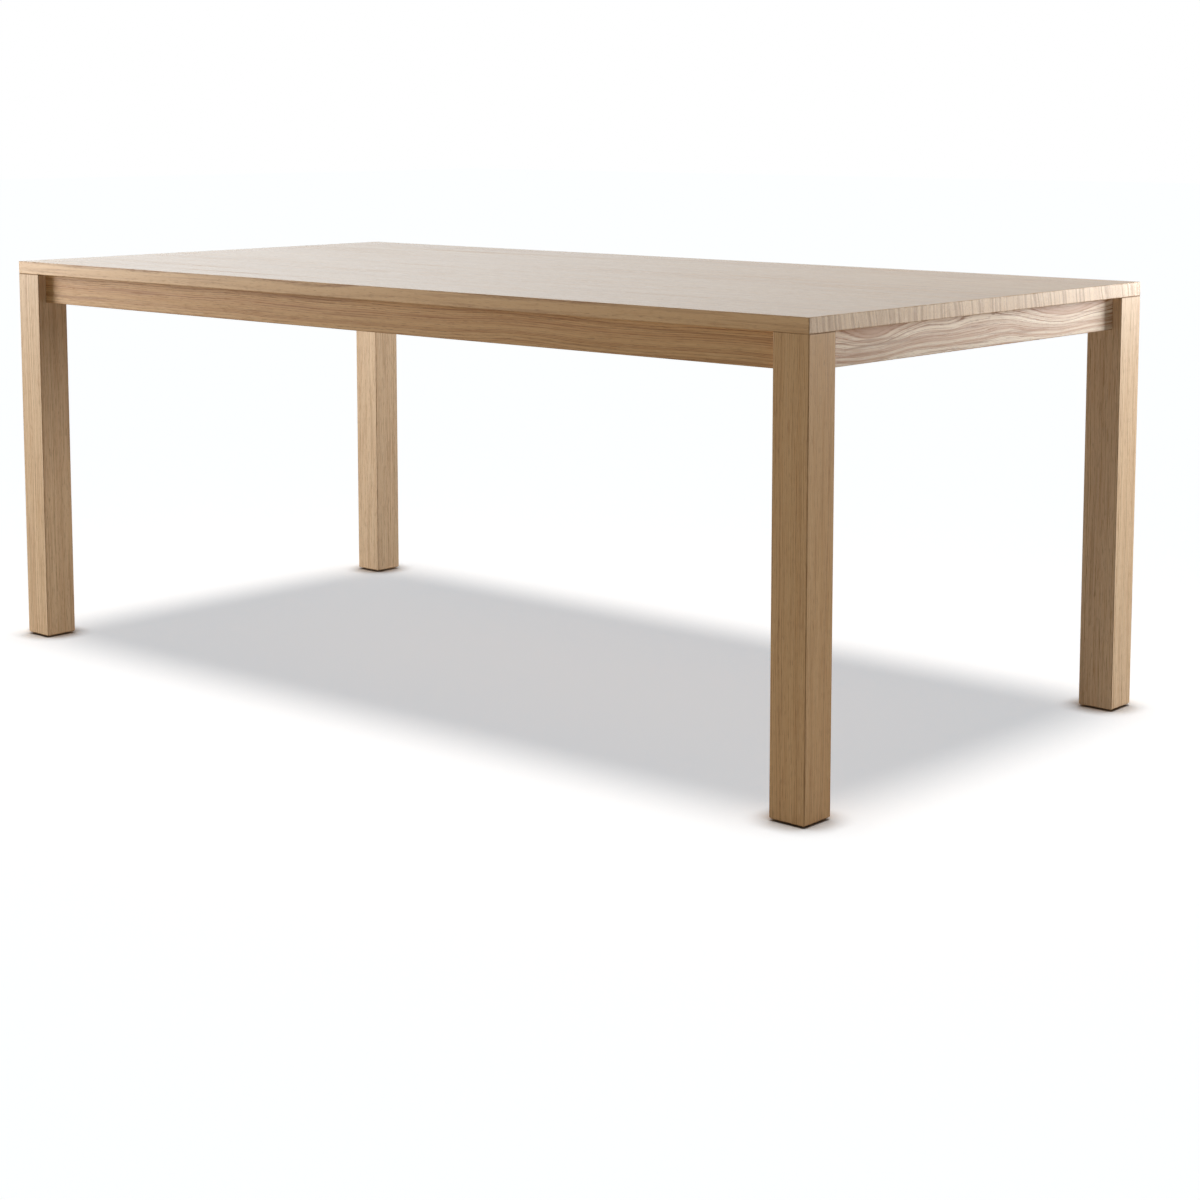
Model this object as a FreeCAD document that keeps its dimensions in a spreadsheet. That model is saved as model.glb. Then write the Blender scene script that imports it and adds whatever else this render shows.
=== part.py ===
import FreeCAD, Part
import os
from collections import namedtuple

import Sketcher

# A solid oak dining table whose legs come off with eight nuts.
#
# The top is boards glued edge to edge. It lies flush over four square legs. Aprons join the
# legs just under the top, and steel clips in the aprons hold the top down and let it move.
# At each corner, dowels place the aprons on the leg, and a bent steel bracket hooks into saw
# kerfs in two aprons. Two hanger bolts in the leg pull the bracket and both aprons tight.
#
# Millimetres, +Z up. The origin is on the floor under the middle of the top. X runs along the
# table, Y across it from the front to the back.

Vector = FreeCAD.Vector
Rotation = FreeCAD.Rotation

TOLERANCE = 1e-6
ADDS = (1,)
REMOVES = (-1,)

# Boards in the top, an even number.
STAVE_COUNT = 8
# Clips on each long apron, from the middle of the table, as shares of half its length.
LONG_CLIP_SHARES = (0.31, 0.72)
# Which stave each fixing goes into, counted outwards from the middle of the top.
RAIL_SCREW_STAVES = (0, 2)
END_CLIP_STAVE = 1
EDGE_STAVE = STAVE_COUNT // 2 - 1

SIZE_ROWS = (
    ("table_length", 1940, "top, along X"),
    ("table_width", 960, "top, along Y"),
    ("table_height", 750, "floor to the top's upper face"),
    ("top_thickness", 24, "boards of the top"),
    ("top_arris", 1, "radius on the top's edges"),
    ("leg_width", 65, "side of a leg's square section"),
    ("leg_arris", 1.5, "radius on the upright corners"),
    ("foot_chamfer", 2, "bevel round a leg's foot"),
    ("head_chamfer", 0.8, "bevel round a leg's head"),
    ("apron_height", 56, "aprons, upright"),
    ("apron_thickness", 22, "aprons, level"),
    ("apron_inset", 17, "an apron's outer face behind the top's edge"),
    ("apron_arris", 1, "radius on an apron's lower edges"),
    ("rail_thickness", 22, "cross rail, level"),
    ("rail_lift", 12, "cross rail's lower edge over the aprons' lower edges"),
    ("rail_arris", 1, "radius on the cross rail's lower edges"),
    ("tenon_length", 10, "stub tenon at each end of the cross rail"),
    ("tenon_shoulder", 5, "shoulder all round a tenon"),
    ("seat_cut", 12, "bolt seat, as the bevel's leg on each inner face of a leg"),
    ("bracket_thickness", 2.5, "steel sheet of a corner bracket"),
    ("bracket_gap", 12, "bolt seat to a bracket's web"),
    ("bracket_edge", 4, "apron's edge to a bracket's edge, above and below"),
    ("bracket_bend", 2, "inside radius where a web turns into a wing"),
    ("wing_length", 34, "flat of a bracket on an apron"),
    ("lip_depth", 7, "bracket's lip in a kerf"),
    ("kerf_play", 0.5, "a kerf wider than the lip"),
    ("bolt_diameter", 8, "hanger bolt"),
    ("bolt_wood_length", 40, "hanger bolt inside a leg"),
    ("bolt_free_length", 28, "hanger bolt outside a leg"),
    ("bolt_point", 6, "tapered point in the wood"),
    ("bolt_bevel", 1, "bevel on the threaded end"),
    ("bolt_play", 0.5, "a bracket's bolt hole round the bolt, all round"),
    ("washer_diameter", 16, "flat washer"),
    ("washer_thickness", 1.6, "flat washer"),
    ("nut_width", 13, "nut across its flats"),
    ("nut_height", 6.5, "nut"),
    ("nut_bevel", 0.6, "bevel on a nut's corners, along its axis"),
    ("dowel_diameter", 8, "beech dowel"),
    ("dowel_length", 40, "half in a leg and half in an apron"),
    ("dowel_bevel", 1, "bevel on a dowel's ends"),
    ("bracket_screw_diameter", 4, "screw through a bracket's wing"),
    ("bracket_screw_play", 0.25, "a wing's screw hole round the screw, all round"),
    ("apron_skin", 7.5, "wood left in front of a bracket screw's hole"),
    ("clip_thickness", 2, "steel strip of a top clip"),
    ("clip_width", 18, "top clip along its apron"),
    ("clip_drop", 10, "top's underside to the tongue of a clip"),
    ("clip_bend", 1, "inside radius of a clip's bends"),
    ("clip_tongue", 7, "tongue of a clip inside its apron"),
    ("clip_stand_off", 1, "apron's inner face to the upright of a clip"),
    ("clip_foot", 18, "part of a clip that lies on the top"),
    ("clip_slot_play", 3, "a slot wider than the clip, on each side"),
    ("clip_slot_drop", 1, "a slot deeper below the tongue"),
    ("clip_slot_end", 2, "a slot deeper into the apron than the tongue"),
    ("clip_screw_diameter", 4, "screw through a clip into the top"),
    ("clip_screw_play", 0.25, "a clip's hole round its screw, all round"),
    ("rail_screw_diameter", 4.5, "screw through the cross rail into the top"),
    ("rail_screw_ledge", 16, "wood of the rail over a rail screw's head"),
    ("rail_screw_play", 0.5, "a rail screw's slot wider than the screw, on each side"),
    ("rail_screw_travel", 3, "length that a slot adds for the movement of the top"),
    ("rail_bore_play", 2.5, "counterbore round a rail screw's head, all round"),
    ("top_skin", 9, "wood left over the holes in the top's underside"),
    ("glide_diameter", 28, "plastic glide"),
    ("glide_height", 3, "plastic glide"),
    ("glide_arris", 1, "radius on a glide's lower edge"),
    ("glide_screw_diameter", 3.5, "countersunk screw in a glide"),
    ("glide_screw_length", 16, "countersunk screw in a glide"),
    ("glide_screw_recess", 0.6, "floor to the head of a glide's screw"),
    ("fit_gap", 0.1, "air round a dowel, a bolt, a screw or a tenon in its hole"),
    ("end_gap", 1, "air past the end of a dowel, a bolt, a screw or a tenon"),
    ("overrun", 5, "how far a cut runs past the solid"),
)

# Sizes of round heads and points, as shares of the shank's diameter.
SHARE_ROWS = (
    ("pan_head_share", 2, "pan head's diameter"),
    ("pan_height_share", 0.6, "pan head's height"),
    ("flat_head_share", 2, "countersunk head's diameter"),
    ("point_share", 1.5, "point's length"),
    ("bolt_rise_share", 0.27, "bolt over or under the middle of its bracket's height"),
    ("screw_rise_share", 0.3, "screw over or under the middle of its bracket's height"),
    ("dowel_rise_share", 0.25, "dowel over or under the middle of its apron's height"),
)

PLACE_ROWS = (
    ("half_length", "=Sizes.table_length / 2", "middle of the table to its end"),
    ("half_width", "=Sizes.table_width / 2", "middle of the table to its long side"),
    ("stave_width", f"=Sizes.table_width / {STAVE_COUNT}", "one board of the top"),
    ("top_under", "=Sizes.table_height - Sizes.top_thickness", "underside of the top"),
    ("leg_length", "=top_under - Sizes.glide_height", "a leg without its glide"),
    ("apron_bottom", "=top_under - Sizes.apron_height", "lower edges of the aprons"),
    ("apron_middle", "=top_under - Sizes.apron_height / 2", "middle of the aprons' height"),
    ("apron_inner", "=Sizes.apron_inset + Sizes.apron_thickness", "aprons' inner faces"),
    ("apron_line", "=Sizes.apron_inset + Sizes.apron_thickness / 2", "aprons' middle planes"),
    ("rail_height", "=Sizes.apron_height - Sizes.rail_lift", "cross rail, upright"),
    ("seat_place", "=Sizes.leg_width - Sizes.seat_cut / 2", "bolt seat's middle"),
    ("web_place", "=seat_place + Sizes.bracket_gap / sqrt(2)", "bracket web's middle"),
    ("wing_start", "=2 * web_place - apron_inner", "where a bracket's wing begins"),
    ("wing_end", "=wing_start + Sizes.wing_length", "where a bracket's lip turns in"),
    ("wing_screw", "=wing_start + Sizes.wing_length / 2", "screws of a bracket's wing"),
    ("bracket_height", "=Sizes.apron_height - 2 * Sizes.bracket_edge", "corner bracket, upright"),
    ("bolt_rise", "=bracket_height * Shares.bolt_rise_share", "bolts from the apron's middle"),
    ("screw_rise", "=bracket_height * Shares.screw_rise_share", "screws from the apron's middle"),
    ("dowel_rise", "=Sizes.apron_height * Shares.dowel_rise_share", "dowels from the middle"),
    ("bolt_hole", "=Sizes.bolt_diameter + 2 * Sizes.fit_gap", "hole for a bolt in wood or a nut"),
    ("dowel_hole", "=Sizes.dowel_diameter + 2 * Sizes.fit_gap", "hole for a dowel"),
    ("dowel_hole_depth", "=Sizes.dowel_length / 2 + Sizes.end_gap", "in a leg and in an apron"),
    ("bracket_screw_bite",
     "=Sizes.apron_thickness - Sizes.apron_skin - Sizes.end_gap", "bracket screw in its apron"),
    ("top_bite", "=Sizes.top_thickness - Sizes.top_skin - Sizes.end_gap", "screws in the top"),
    ("clip_screw_place", "=Sizes.clip_stand_off + Sizes.clip_thickness"
     " + (Sizes.clip_foot - Sizes.clip_thickness) / 2", "clip's screw from the apron's face"),
    ("glide_head_top", "=Sizes.glide_screw_recess + Sizes.glide_screw_diameter"
     " * (Shares.flat_head_share - 1) / 2", "where a glide screw's head meets its shank"),
    ("glide_screw_tip", "=Sizes.glide_screw_recess + Sizes.glide_screw_length", "glide screw"),
)

doc = FreeCAD.newDocument("dining_table")
nodes = []


def fill_sheet(name, rows):
    """A sheet with one named value in each row."""
    sheet = doc.addObject("Spreadsheet::Sheet", name)
    for number, (alias, content, note) in enumerate(rows, start=1):
        sheet.set(f"A{number}", alias)
        sheet.set(f"B{number}", str(content))
        sheet.setAlias(f"B{number}", alias)
        sheet.set(f"C{number}", note)
    doc.recompute()
    return sheet


sizes = fill_sheet("Sizes", SIZE_ROWS)
fill_sheet("Shares", SHARE_ROWS)
fill_sheet("Places", PLACE_ROWS)


def value(expression):
    """What an expression in the sheets' names comes to."""
    return float(sizes.evalExpression(expression))


# One long or short side of the table, seen from outside. Its own frame has the origin in the
# middle of the top's edge, x to the right and y inwards. The side's left end is a corner of
# the table, which gives the corner's leg, bracket and glide their place and turn.
Side = namedtuple("Side", "apron corner angle cosine sine half depth")
SIDES = (
    Side("apron_front", "front_left", 0, 1, 0, "Places.half_length", "Places.half_width"),
    Side("apron_right", "front_right", 90, 0, 1, "Places.half_width", "Places.half_length"),
    Side("apron_back", "back_right", 180, -1, 0, "Places.half_length", "Places.half_width"),
    Side("apron_left", "back_left", 270, 0, -1, "Places.half_width", "Places.half_length"),
)
LONG_SIDES = (SIDES[0], SIDES[2])
SHORT_SIDES = (SIDES[1], SIDES[3])
ENDS = (-1, 1)


def place(item, side, right, inward, up, turn=0):
    """Puts an item at a place in a side's frame, turned about its own upright axis."""
    item.Placement.Rotation = Rotation(Vector(0, 0, 1), side.angle + turn)
    back = f"(({inward}) - {side.depth})"
    item.setExpression("Placement.Base.x", f"({right}) * {side.cosine} - {back} * {side.sine}")
    item.setExpression("Placement.Base.y", f"({right}) * {side.sine} + {back} * {side.cosine}")
    item.setExpression("Placement.Base.z", up)


def from_corner(side, distance):
    """A place along a side, measured from the corner at its left end."""
    return f"{distance} - {side.half}"


# Building blocks that every piece shares.

def origin_plane(body, role):
    return [feature for feature in body.Origin.OriginFeatures if feature.Role == role][0]


def new_sketch(body, name, role, turn=0, **offset):
    """A sketch on one of the body's planes, moved by offsets along the plane's own axes."""
    sketch = body.newObject("Sketcher::SketchObject", name)
    sketch.AttachmentSupport = [(origin_plane(body, role), "")]
    sketch.MapMode = "FlatFace"
    sketch.AttachmentOffset = FreeCAD.Placement(Vector(), Rotation(Vector(0, 1, 0), turn))
    for axis, expression in offset.items():
        sketch.setExpression(f"AttachmentOffset.Base.{axis}", expression)
    return sketch


def bind(sketch, constraint, expression):
    number = sketch.addConstraint(constraint)
    sketch.setExpression(f"Constraints[{number}]", expression)


def bind_point(sketch, curve, point, x, y):
    """Ties one point of a curve to a place, measured from the sketch's origin."""
    bind(sketch, Sketcher.Constraint("DistanceX", -1, 1, curve, point, value(x)), x)
    bind(sketch, Sketcher.Constraint("DistanceY", -1, 1, curve, point, value(y)), y)


def polygon(sketch, corners):
    """A closed outline with straight sides."""
    places = [Vector(value(x), value(y), 0) for x, y in corners]
    following = places[1:] + places[:1]
    lines = [sketch.addGeometry(Part.LineSegment(start, end), False)
             for start, end in zip(places, following)]
    for line, next_line in zip(lines, lines[1:] + lines[:1]):
        sketch.addConstraint(Sketcher.Constraint("Coincident", line, 2, next_line, 1))
    for line, (x, y) in zip(lines, corners):
        bind_point(sketch, line, 1, x, y)


def rectangle(sketch, left, right, bottom, top):
    polygon(sketch, ((left, bottom), (right, bottom), (right, top), (left, top)))


def circles(sketch, centres, diameter):
    for x, y in centres:
        centre = Vector(value(x), value(y), 0)
        circle = Part.Circle(centre, Vector(0, 0, 1), value(diameter) / 2)
        curve = sketch.addGeometry(circle, False)
        bind_point(sketch, curve, 3, x, y)
        bind(sketch, Sketcher.Constraint("Diameter", curve, value(diameter)), diameter)


def long_hole(sketch, y, diameter, travel):
    """A slot with round ends, drawn out along the sketch's upright axis."""
    radius = value(diameter) / 2
    low = Vector(0, value(f"{y} - {travel} / 2"), 0)
    high = Vector(0, value(f"{y} + {travel} / 2"), 0)
    right = Vector(radius, 0, 0)
    upright = Vector(0, radius, 0)
    curves = (
        Part.Arc(high + right, high + upright, high - right),
        Part.LineSegment(high - right, low - right),
        Part.Arc(low - right, low - upright, low + right),
        Part.LineSegment(low + right, high + right),
    )
    top_arc, left_line, bottom_arc, right_line = [
        sketch.addGeometry(curve, False) for curve in curves]
    bind_point(sketch, top_arc, 3, "0", f"{y} + {travel} / 2")
    bind_point(sketch, bottom_arc, 3, "0", f"{y} - {travel} / 2")
    bind(sketch, Sketcher.Constraint("Diameter", top_arc, value(diameter)), diameter)
    for one, one_end, other, other_end in (
            (top_arc, 2, left_line, 1), (left_line, 2, bottom_arc, 1),
            (bottom_arc, 2, right_line, 1), (right_line, 2, top_arc, 1)):
        sketch.addConstraint(Sketcher.Constraint("Tangent", one, one_end, other, other_end))


def settle(body, feature, senses):
    """Recomputes, and makes sure that a feature adds (1) or removes (-1) material as it should."""
    before = 0 if body.Shape.isNull() else body.Shape.Volume
    doc.recompute()
    change = body.Shape.Volume - before
    sense = (change > TOLERANCE) - (change < -TOLERANCE)
    if sense not in senses or len(body.Shape.Solids) != 1:
        raise RuntimeError(f"{body.Label}: {feature.Label} changed the volume by {change}")
    return feature


def extrude(body, kind, sketch, length, both_ways, backwards):
    feature = body.newObject(f"PartDesign::{kind}", f"{sketch.Label}_{kind.lower()}")
    feature.Profile = sketch
    feature.setExpression("Length", length)
    feature.SideType = "Symmetric" if both_ways else "One side"
    feature.Reversed = backwards
    return feature


def pad(body, sketch, length, both_ways=False, backwards=False):
    return settle(body, extrude(body, "Pad", sketch, length, both_ways, backwards), ADDS)


def pocket(body, sketch, length, both_ways=False, backwards=False):
    return settle(body, extrude(body, "Pocket", sketch, length, both_ways, backwards), REMOVES)


def turned(body, role, profile):
    """A round body from (radius, height) corners, about the upright axis of the sketch."""
    sketch = new_sketch(body, "profile", role)
    polygon(sketch, profile)
    feature = body.newObject("PartDesign::Revolution", "turned")
    feature.Profile = sketch
    feature.ReferenceAxis = (sketch, ["V_Axis"])
    return settle(body, feature, ADDS)


def mirrored(body, features):
    """Repeats cuts on the other side of the body's YZ plane."""
    feature = body.newObject("PartDesign::Mirrored", "mirrored")
    feature.Originals = features
    feature.MirrorPlane = (origin_plane(body, "YZ_Plane"), [""])
    body.Tip = feature
    return settle(body, feature, REMOVES)


def in_plane(axis, place_text):
    """A test for edges that lie in the plane where one coordinate has this value."""
    level = value(place_text)
    return lambda edge: all(abs(getattr(point, axis) - level) < TOLERANCE
                            for point in edge_points(edge))


def edge_points(edge):
    return [vertex.Point for vertex in edge.Vertexes]


def rises(edge):
    """Whether an edge isn't level."""
    heights = [point.z for point in edge_points(edge)]
    return max(heights) - min(heights) > TOLERANCE


def runs_along(axis):
    """A test for straight edges that are parallel to one axis."""
    others = [name for name in "xyz" if name != axis]

    def test(edge):
        points = edge_points(edge)
        spans = [abs(getattr(points[0], name) - getattr(points[-1], name)) for name in others]
        return len(points) == 2 and max(spans) < TOLERANCE

    return test


def dress(body, kind, sizing, size, wanted):
    base = body.Tip
    names = [f"Edge{number}" for number, edge in enumerate(base.Shape.Edges, start=1)
             if wanted(edge)]
    feature = body.newObject(f"PartDesign::{kind}", kind.lower())
    feature.Base = (base, names)
    feature.setExpression(sizing, size)
    return settle(body, feature, ADDS + REMOVES)


def fillet(body, radius, wanted):
    return dress(body, "Fillet", "Radius", radius, wanted)


def chamfer(body, size, wanted):
    return dress(body, "Chamfer", "Size", size, wanted)


def new_body(label):
    body = doc.addObject("PartDesign::Body", label)
    body.Label = label
    return body


def new_node(label):
    """A body that is written out under its label."""
    body = new_body(label)
    nodes.append(body)
    return body


def group_node(label, master, places):
    """One node that holds a copy of the master at each (side, right, inward, up, turn)."""
    copies = []
    for side, right, inward, up, turn in places:
        copy = doc.addObject("App::Link", f"{master.Label}_copy")
        copy.LinkedObject = master
        place(copy, side, right, inward, up, turn)
        copies.append(copy)
    node = doc.addObject("Part::Compound", label)
    node.Label = label
    node.Links = copies
    nodes.append(node)


def above_and_below(middle, rise):
    """Two heights, one over and one under a middle."""
    return [f"{middle} {sign} {rise}" for sign in "+-"]


# The top

def stave_fixings(ring, near_edge):
    """Holes in the underside of a stave: places from its middle and its lower edge in Y."""
    middle = "Places.stave_width / 2"
    if ring in RAIL_SCREW_STAVES:
        return "Sizes.rail_screw_diameter", [("0", middle)]
    if ring == END_CLIP_STAVE:
        reach = "(Places.half_length - Places.apron_inner - Places.clip_screw_place)"
        return "Sizes.clip_screw_diameter", [(f"{end} * {reach}", middle) for end in ENDS]
    row = "(Places.apron_inner + Places.clip_screw_place)"
    if not near_edge:
        row = f"Places.stave_width - {row}"
    rights = [f"{end} * {share} * Places.half_length" for end in ENDS for share in LONG_CLIP_SHARES]
    return "Sizes.clip_screw_diameter", [(right, row) for right in rights]


def make_stave(number):
    """One board, counted from the front. The outer two have the top's rounded long edges."""
    body = new_node(f"top_stave_{number + 1}")
    outline = new_sketch(body, "outline", "XY_Plane")
    rectangle(outline, "-Places.half_length", "Places.half_length", "0", "Places.stave_width")
    pad(body, outline, "Sizes.top_thickness")

    in_front = number < STAVE_COUNT // 2
    ring = STAVE_COUNT // 2 - 1 - number if in_front else number - STAVE_COUNT // 2
    at_left = in_plane("x", "-Places.half_length")
    at_right = in_plane("x", "Places.half_length")
    upright = runs_along("z")
    outer = in_plane("y", "0" if in_front else "Places.stave_width")
    is_outer = ring == EDGE_STAVE
    if is_outer:
        fillet(body, "Sizes.leg_arris", lambda edge: upright(edge) and outer(edge))

    def on_rim(edge):
        on_side = at_left(edge) or at_right(edge) or (is_outer and outer(edge))
        return not upright(edge) and (on_side or is_outer and is_corner_arc(edge))

    fillet(body, "Sizes.top_arris", on_rim)

    diameter, centres = stave_fixings(ring, in_front)
    fixings = new_sketch(body, "fixings", "XY_Plane")
    circles(fixings, centres, f"{diameter} + 2 * Sizes.fit_gap")
    pocket(body, fixings, "Places.top_bite + Sizes.end_gap", backwards=True)

    body.setExpression("Placement.Base.y", f"{number} * Places.stave_width - Places.half_width")
    body.setExpression("Placement.Base.z", "Places.top_under")


def is_corner_arc(edge):
    return edge.Curve.TypeId == "Part::GeomCircle"


# The legs, drawn in their corner's frame with the foot at height zero

def diagonal_sketch(body, name, reach):
    """A sketch square to the corner's diagonal, that far from the corner along each side."""
    return new_sketch(body, name, "YZ_Plane", turn=45, x=reach, z=reach)


def make_leg(side):
    body = new_node(f"leg_{side.corner}")
    outline = new_sketch(body, "outline", "XY_Plane")
    rectangle(outline, "0", "Sizes.leg_width", "0", "Sizes.leg_width")
    pad(body, outline, "Places.leg_length")
    chamfer(body, "Sizes.head_chamfer", in_plane("z", "Places.leg_length"))
    chamfer(body, "Sizes.foot_chamfer", in_plane("z", "0"))
    fillet(body, "Sizes.leg_arris", rises)

    # The seat is a flat across the inner corner, behind the aprons, that faces the bracket.
    seat = new_sketch(body, "seat", "XY_Plane", z="Places.leg_length")
    past = "Sizes.leg_width + Sizes.overrun"
    short = "Sizes.leg_width - Sizes.seat_cut - Sizes.overrun"
    polygon(seat, ((past, short), (past, past), (short, past)))
    pocket(body, seat, "Sizes.apron_height")

    middle = "(Places.apron_middle - Sizes.glide_height)"
    dowel_heights = above_and_below(middle, "Places.dowel_rise")
    centres = [("Places.apron_line", height) for height in dowel_heights]
    right_dowels = new_sketch(body, "right_dowels", "YZ_Plane", z="Sizes.leg_width")
    circles(right_dowels, centres, "Places.dowel_hole")
    pocket(body, right_dowels, "Places.dowel_hole_depth")
    inner_dowels = new_sketch(body, "inner_dowels", "XZ_Plane", z="-Sizes.leg_width")
    circles(inner_dowels, centres, "Places.dowel_hole")
    pocket(body, inner_dowels, "Places.dowel_hole_depth", backwards=True)

    bolts = diagonal_sketch(body, "bolts", "Places.seat_place")
    circles(bolts, [("0", height) for height in above_and_below(middle, "Places.bolt_rise")],
            "Places.bolt_hole")
    pocket(body, bolts, "Sizes.bolt_wood_length + Sizes.end_gap")

    glide_hole = new_sketch(body, "glide_hole", "XY_Plane")
    circles(glide_hole, [("Sizes.leg_width / 2", "Sizes.leg_width / 2")],
            "Sizes.glide_screw_diameter + 2 * Sizes.fit_gap")
    pocket(body, glide_hole, "Places.glide_screw_tip - Sizes.glide_height + Sizes.end_gap",
           backwards=True)

    place(body, side, from_corner(side, "0"), "0", "Sizes.glide_height")


# The aprons and the cross rail

def clip_places(side):
    """Where the clips of the right-hand half of an apron sit, from the side's middle."""
    if side in LONG_SIDES:
        return [f"{share} * {side.half}" for share in LONG_CLIP_SHARES]
    return [f"{END_CLIP_STAVE} * Places.stave_width + Places.stave_width / 2"]


def make_apron(side):
    """An apron, with x along it from its middle, y inwards from its outer face."""
    body = new_node(side.apron)
    section = new_sketch(body, "section", "YZ_Plane")
    rectangle(section, "0", "Sizes.apron_thickness", "0", "Sizes.apron_height")
    pad(body, section, f"2 * ({side.half} - Sizes.leg_width)", both_ways=True)
    lengthwise = runs_along("x")
    lower = in_plane("z", "0")
    fillet(body, "Sizes.apron_arris", lambda edge: lengthwise(edge) and lower(edge))

    middle = "Sizes.apron_height / 2"
    dowels = new_sketch(body, "dowels", "YZ_Plane", z=f"{side.half} - Sizes.leg_width")
    circles(dowels, [("Sizes.apron_thickness / 2", height)
                     for height in above_and_below(middle, "Places.dowel_rise")],
            "Places.dowel_hole")
    dowel_holes = pocket(body, dowels, "Places.dowel_hole_depth")

    # A saw kerf right across the inner face takes the bracket's lip.
    kerf = new_sketch(body, "kerf", "XY_Plane")
    kerf_wall = f"{side.half} - Places.wing_end"
    rectangle(kerf, f"{kerf_wall} - Sizes.bracket_thickness - Sizes.kerf_play", kerf_wall,
              "Sizes.apron_thickness - Sizes.lip_depth - Sizes.end_gap",
              "Sizes.apron_thickness + Sizes.overrun")
    kerf_cut = pocket(body, kerf, "2 * (Sizes.apron_height + Sizes.overrun)", both_ways=True)

    screws = new_sketch(body, "screws", "XZ_Plane", z="-Sizes.apron_thickness")
    circles(screws, [(f"{side.half} - Places.wing_screw", height)
                     for height in above_and_below(middle, "Places.screw_rise")],
            "Sizes.bracket_screw_diameter + 2 * Sizes.fit_gap")
    screw_holes = pocket(body, screws, "Places.bracket_screw_bite + Sizes.end_gap",
                         backwards=True)

    slots = new_sketch(body, "slots", "XZ_Plane", z="-Sizes.apron_thickness")
    slot_top = "Sizes.apron_height - Sizes.clip_drop"
    slot_bottom = f"{slot_top} - Sizes.clip_thickness - Sizes.clip_slot_drop"
    reach = "(Sizes.clip_width / 2 + Sizes.clip_slot_play)"
    for right in clip_places(side):
        rectangle(slots, f"{right} - {reach}", f"{right} + {reach}", slot_bottom, slot_top)
    slot_cuts = pocket(body, slots, "Sizes.clip_tongue + Sizes.clip_slot_end", backwards=True)
    mirrored(body, [dowel_holes, kerf_cut, screw_holes, slot_cuts])

    if side in LONG_SIDES:
        mortise = new_sketch(body, "mortise", "XZ_Plane", z="-Sizes.apron_thickness")
        tenon_outline(mortise, "Sizes.rail_lift", "Sizes.fit_gap")
        pocket(body, mortise, "Sizes.tenon_length + Sizes.end_gap", backwards=True)

    place(body, side, "0", "Sizes.apron_inset", "Places.apron_bottom")


def tenon_outline(sketch, base, gap):
    """The stub tenon's section, or the mortise round it, for a rail that starts at a base."""
    reach = f"(Sizes.rail_thickness / 2 - Sizes.tenon_shoulder + {gap})"
    low = f"{base} + Sizes.tenon_shoulder - {gap}"
    high = f"{base} + Places.rail_height - Sizes.tenon_shoulder + {gap}"
    rectangle(sketch, f"-{reach}", reach, low, high)


def rail_screw_rows():
    """Places of the rail screws across the table, in the middle of their staves."""
    return [f"{end} * ({ring} * Places.stave_width + Places.stave_width / 2)"
            for ring in RAIL_SCREW_STAVES for end in ENDS]


def make_cross_rail():
    """The rail that ties the long aprons together and keeps the top flat."""
    body = new_node("cross_rail")
    span = "2 * (Places.half_width - Places.apron_inner)"
    section = new_sketch(body, "section", "XZ_Plane")
    rectangle(section, "-Sizes.rail_thickness / 2", "Sizes.rail_thickness / 2",
              "0", "Places.rail_height")
    pad(body, section, span, both_ways=True)
    lengthwise = runs_along("y")
    lower = in_plane("z", "0")
    fillet(body, "Sizes.rail_arris", lambda edge: lengthwise(edge) and lower(edge))
    tenons = new_sketch(body, "tenons", "XZ_Plane")
    tenon_outline(tenons, "0", "0")
    pad(body, tenons, f"{span} + 2 * Sizes.tenon_length", both_ways=True)

    # The screws sit in slots across the top's grain, so that the top can swell and shrink.
    bores = new_sketch(body, "bores", "XY_Plane")
    circles(bores, [("0", row) for row in rail_screw_rows()],
            "Sizes.rail_screw_diameter * Shares.pan_head_share + 2 * Sizes.rail_bore_play")
    pocket(body, bores, "Places.rail_height - Sizes.rail_screw_ledge", backwards=True)
    slots = new_sketch(body, "slots", "XY_Plane")
    for row in rail_screw_rows():
        long_hole(slots, row, "(Sizes.rail_screw_diameter + 2 * Sizes.rail_screw_play)",
                  "Sizes.rail_screw_travel")
    pocket(body, slots, "2 * (Places.rail_height + Sizes.overrun)", both_ways=True)

    body.setExpression("Placement.Base.z", "Places.apron_bottom + Sizes.rail_lift")


# The corner brackets, drawn in their corner's frame from their lower edge up

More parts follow.
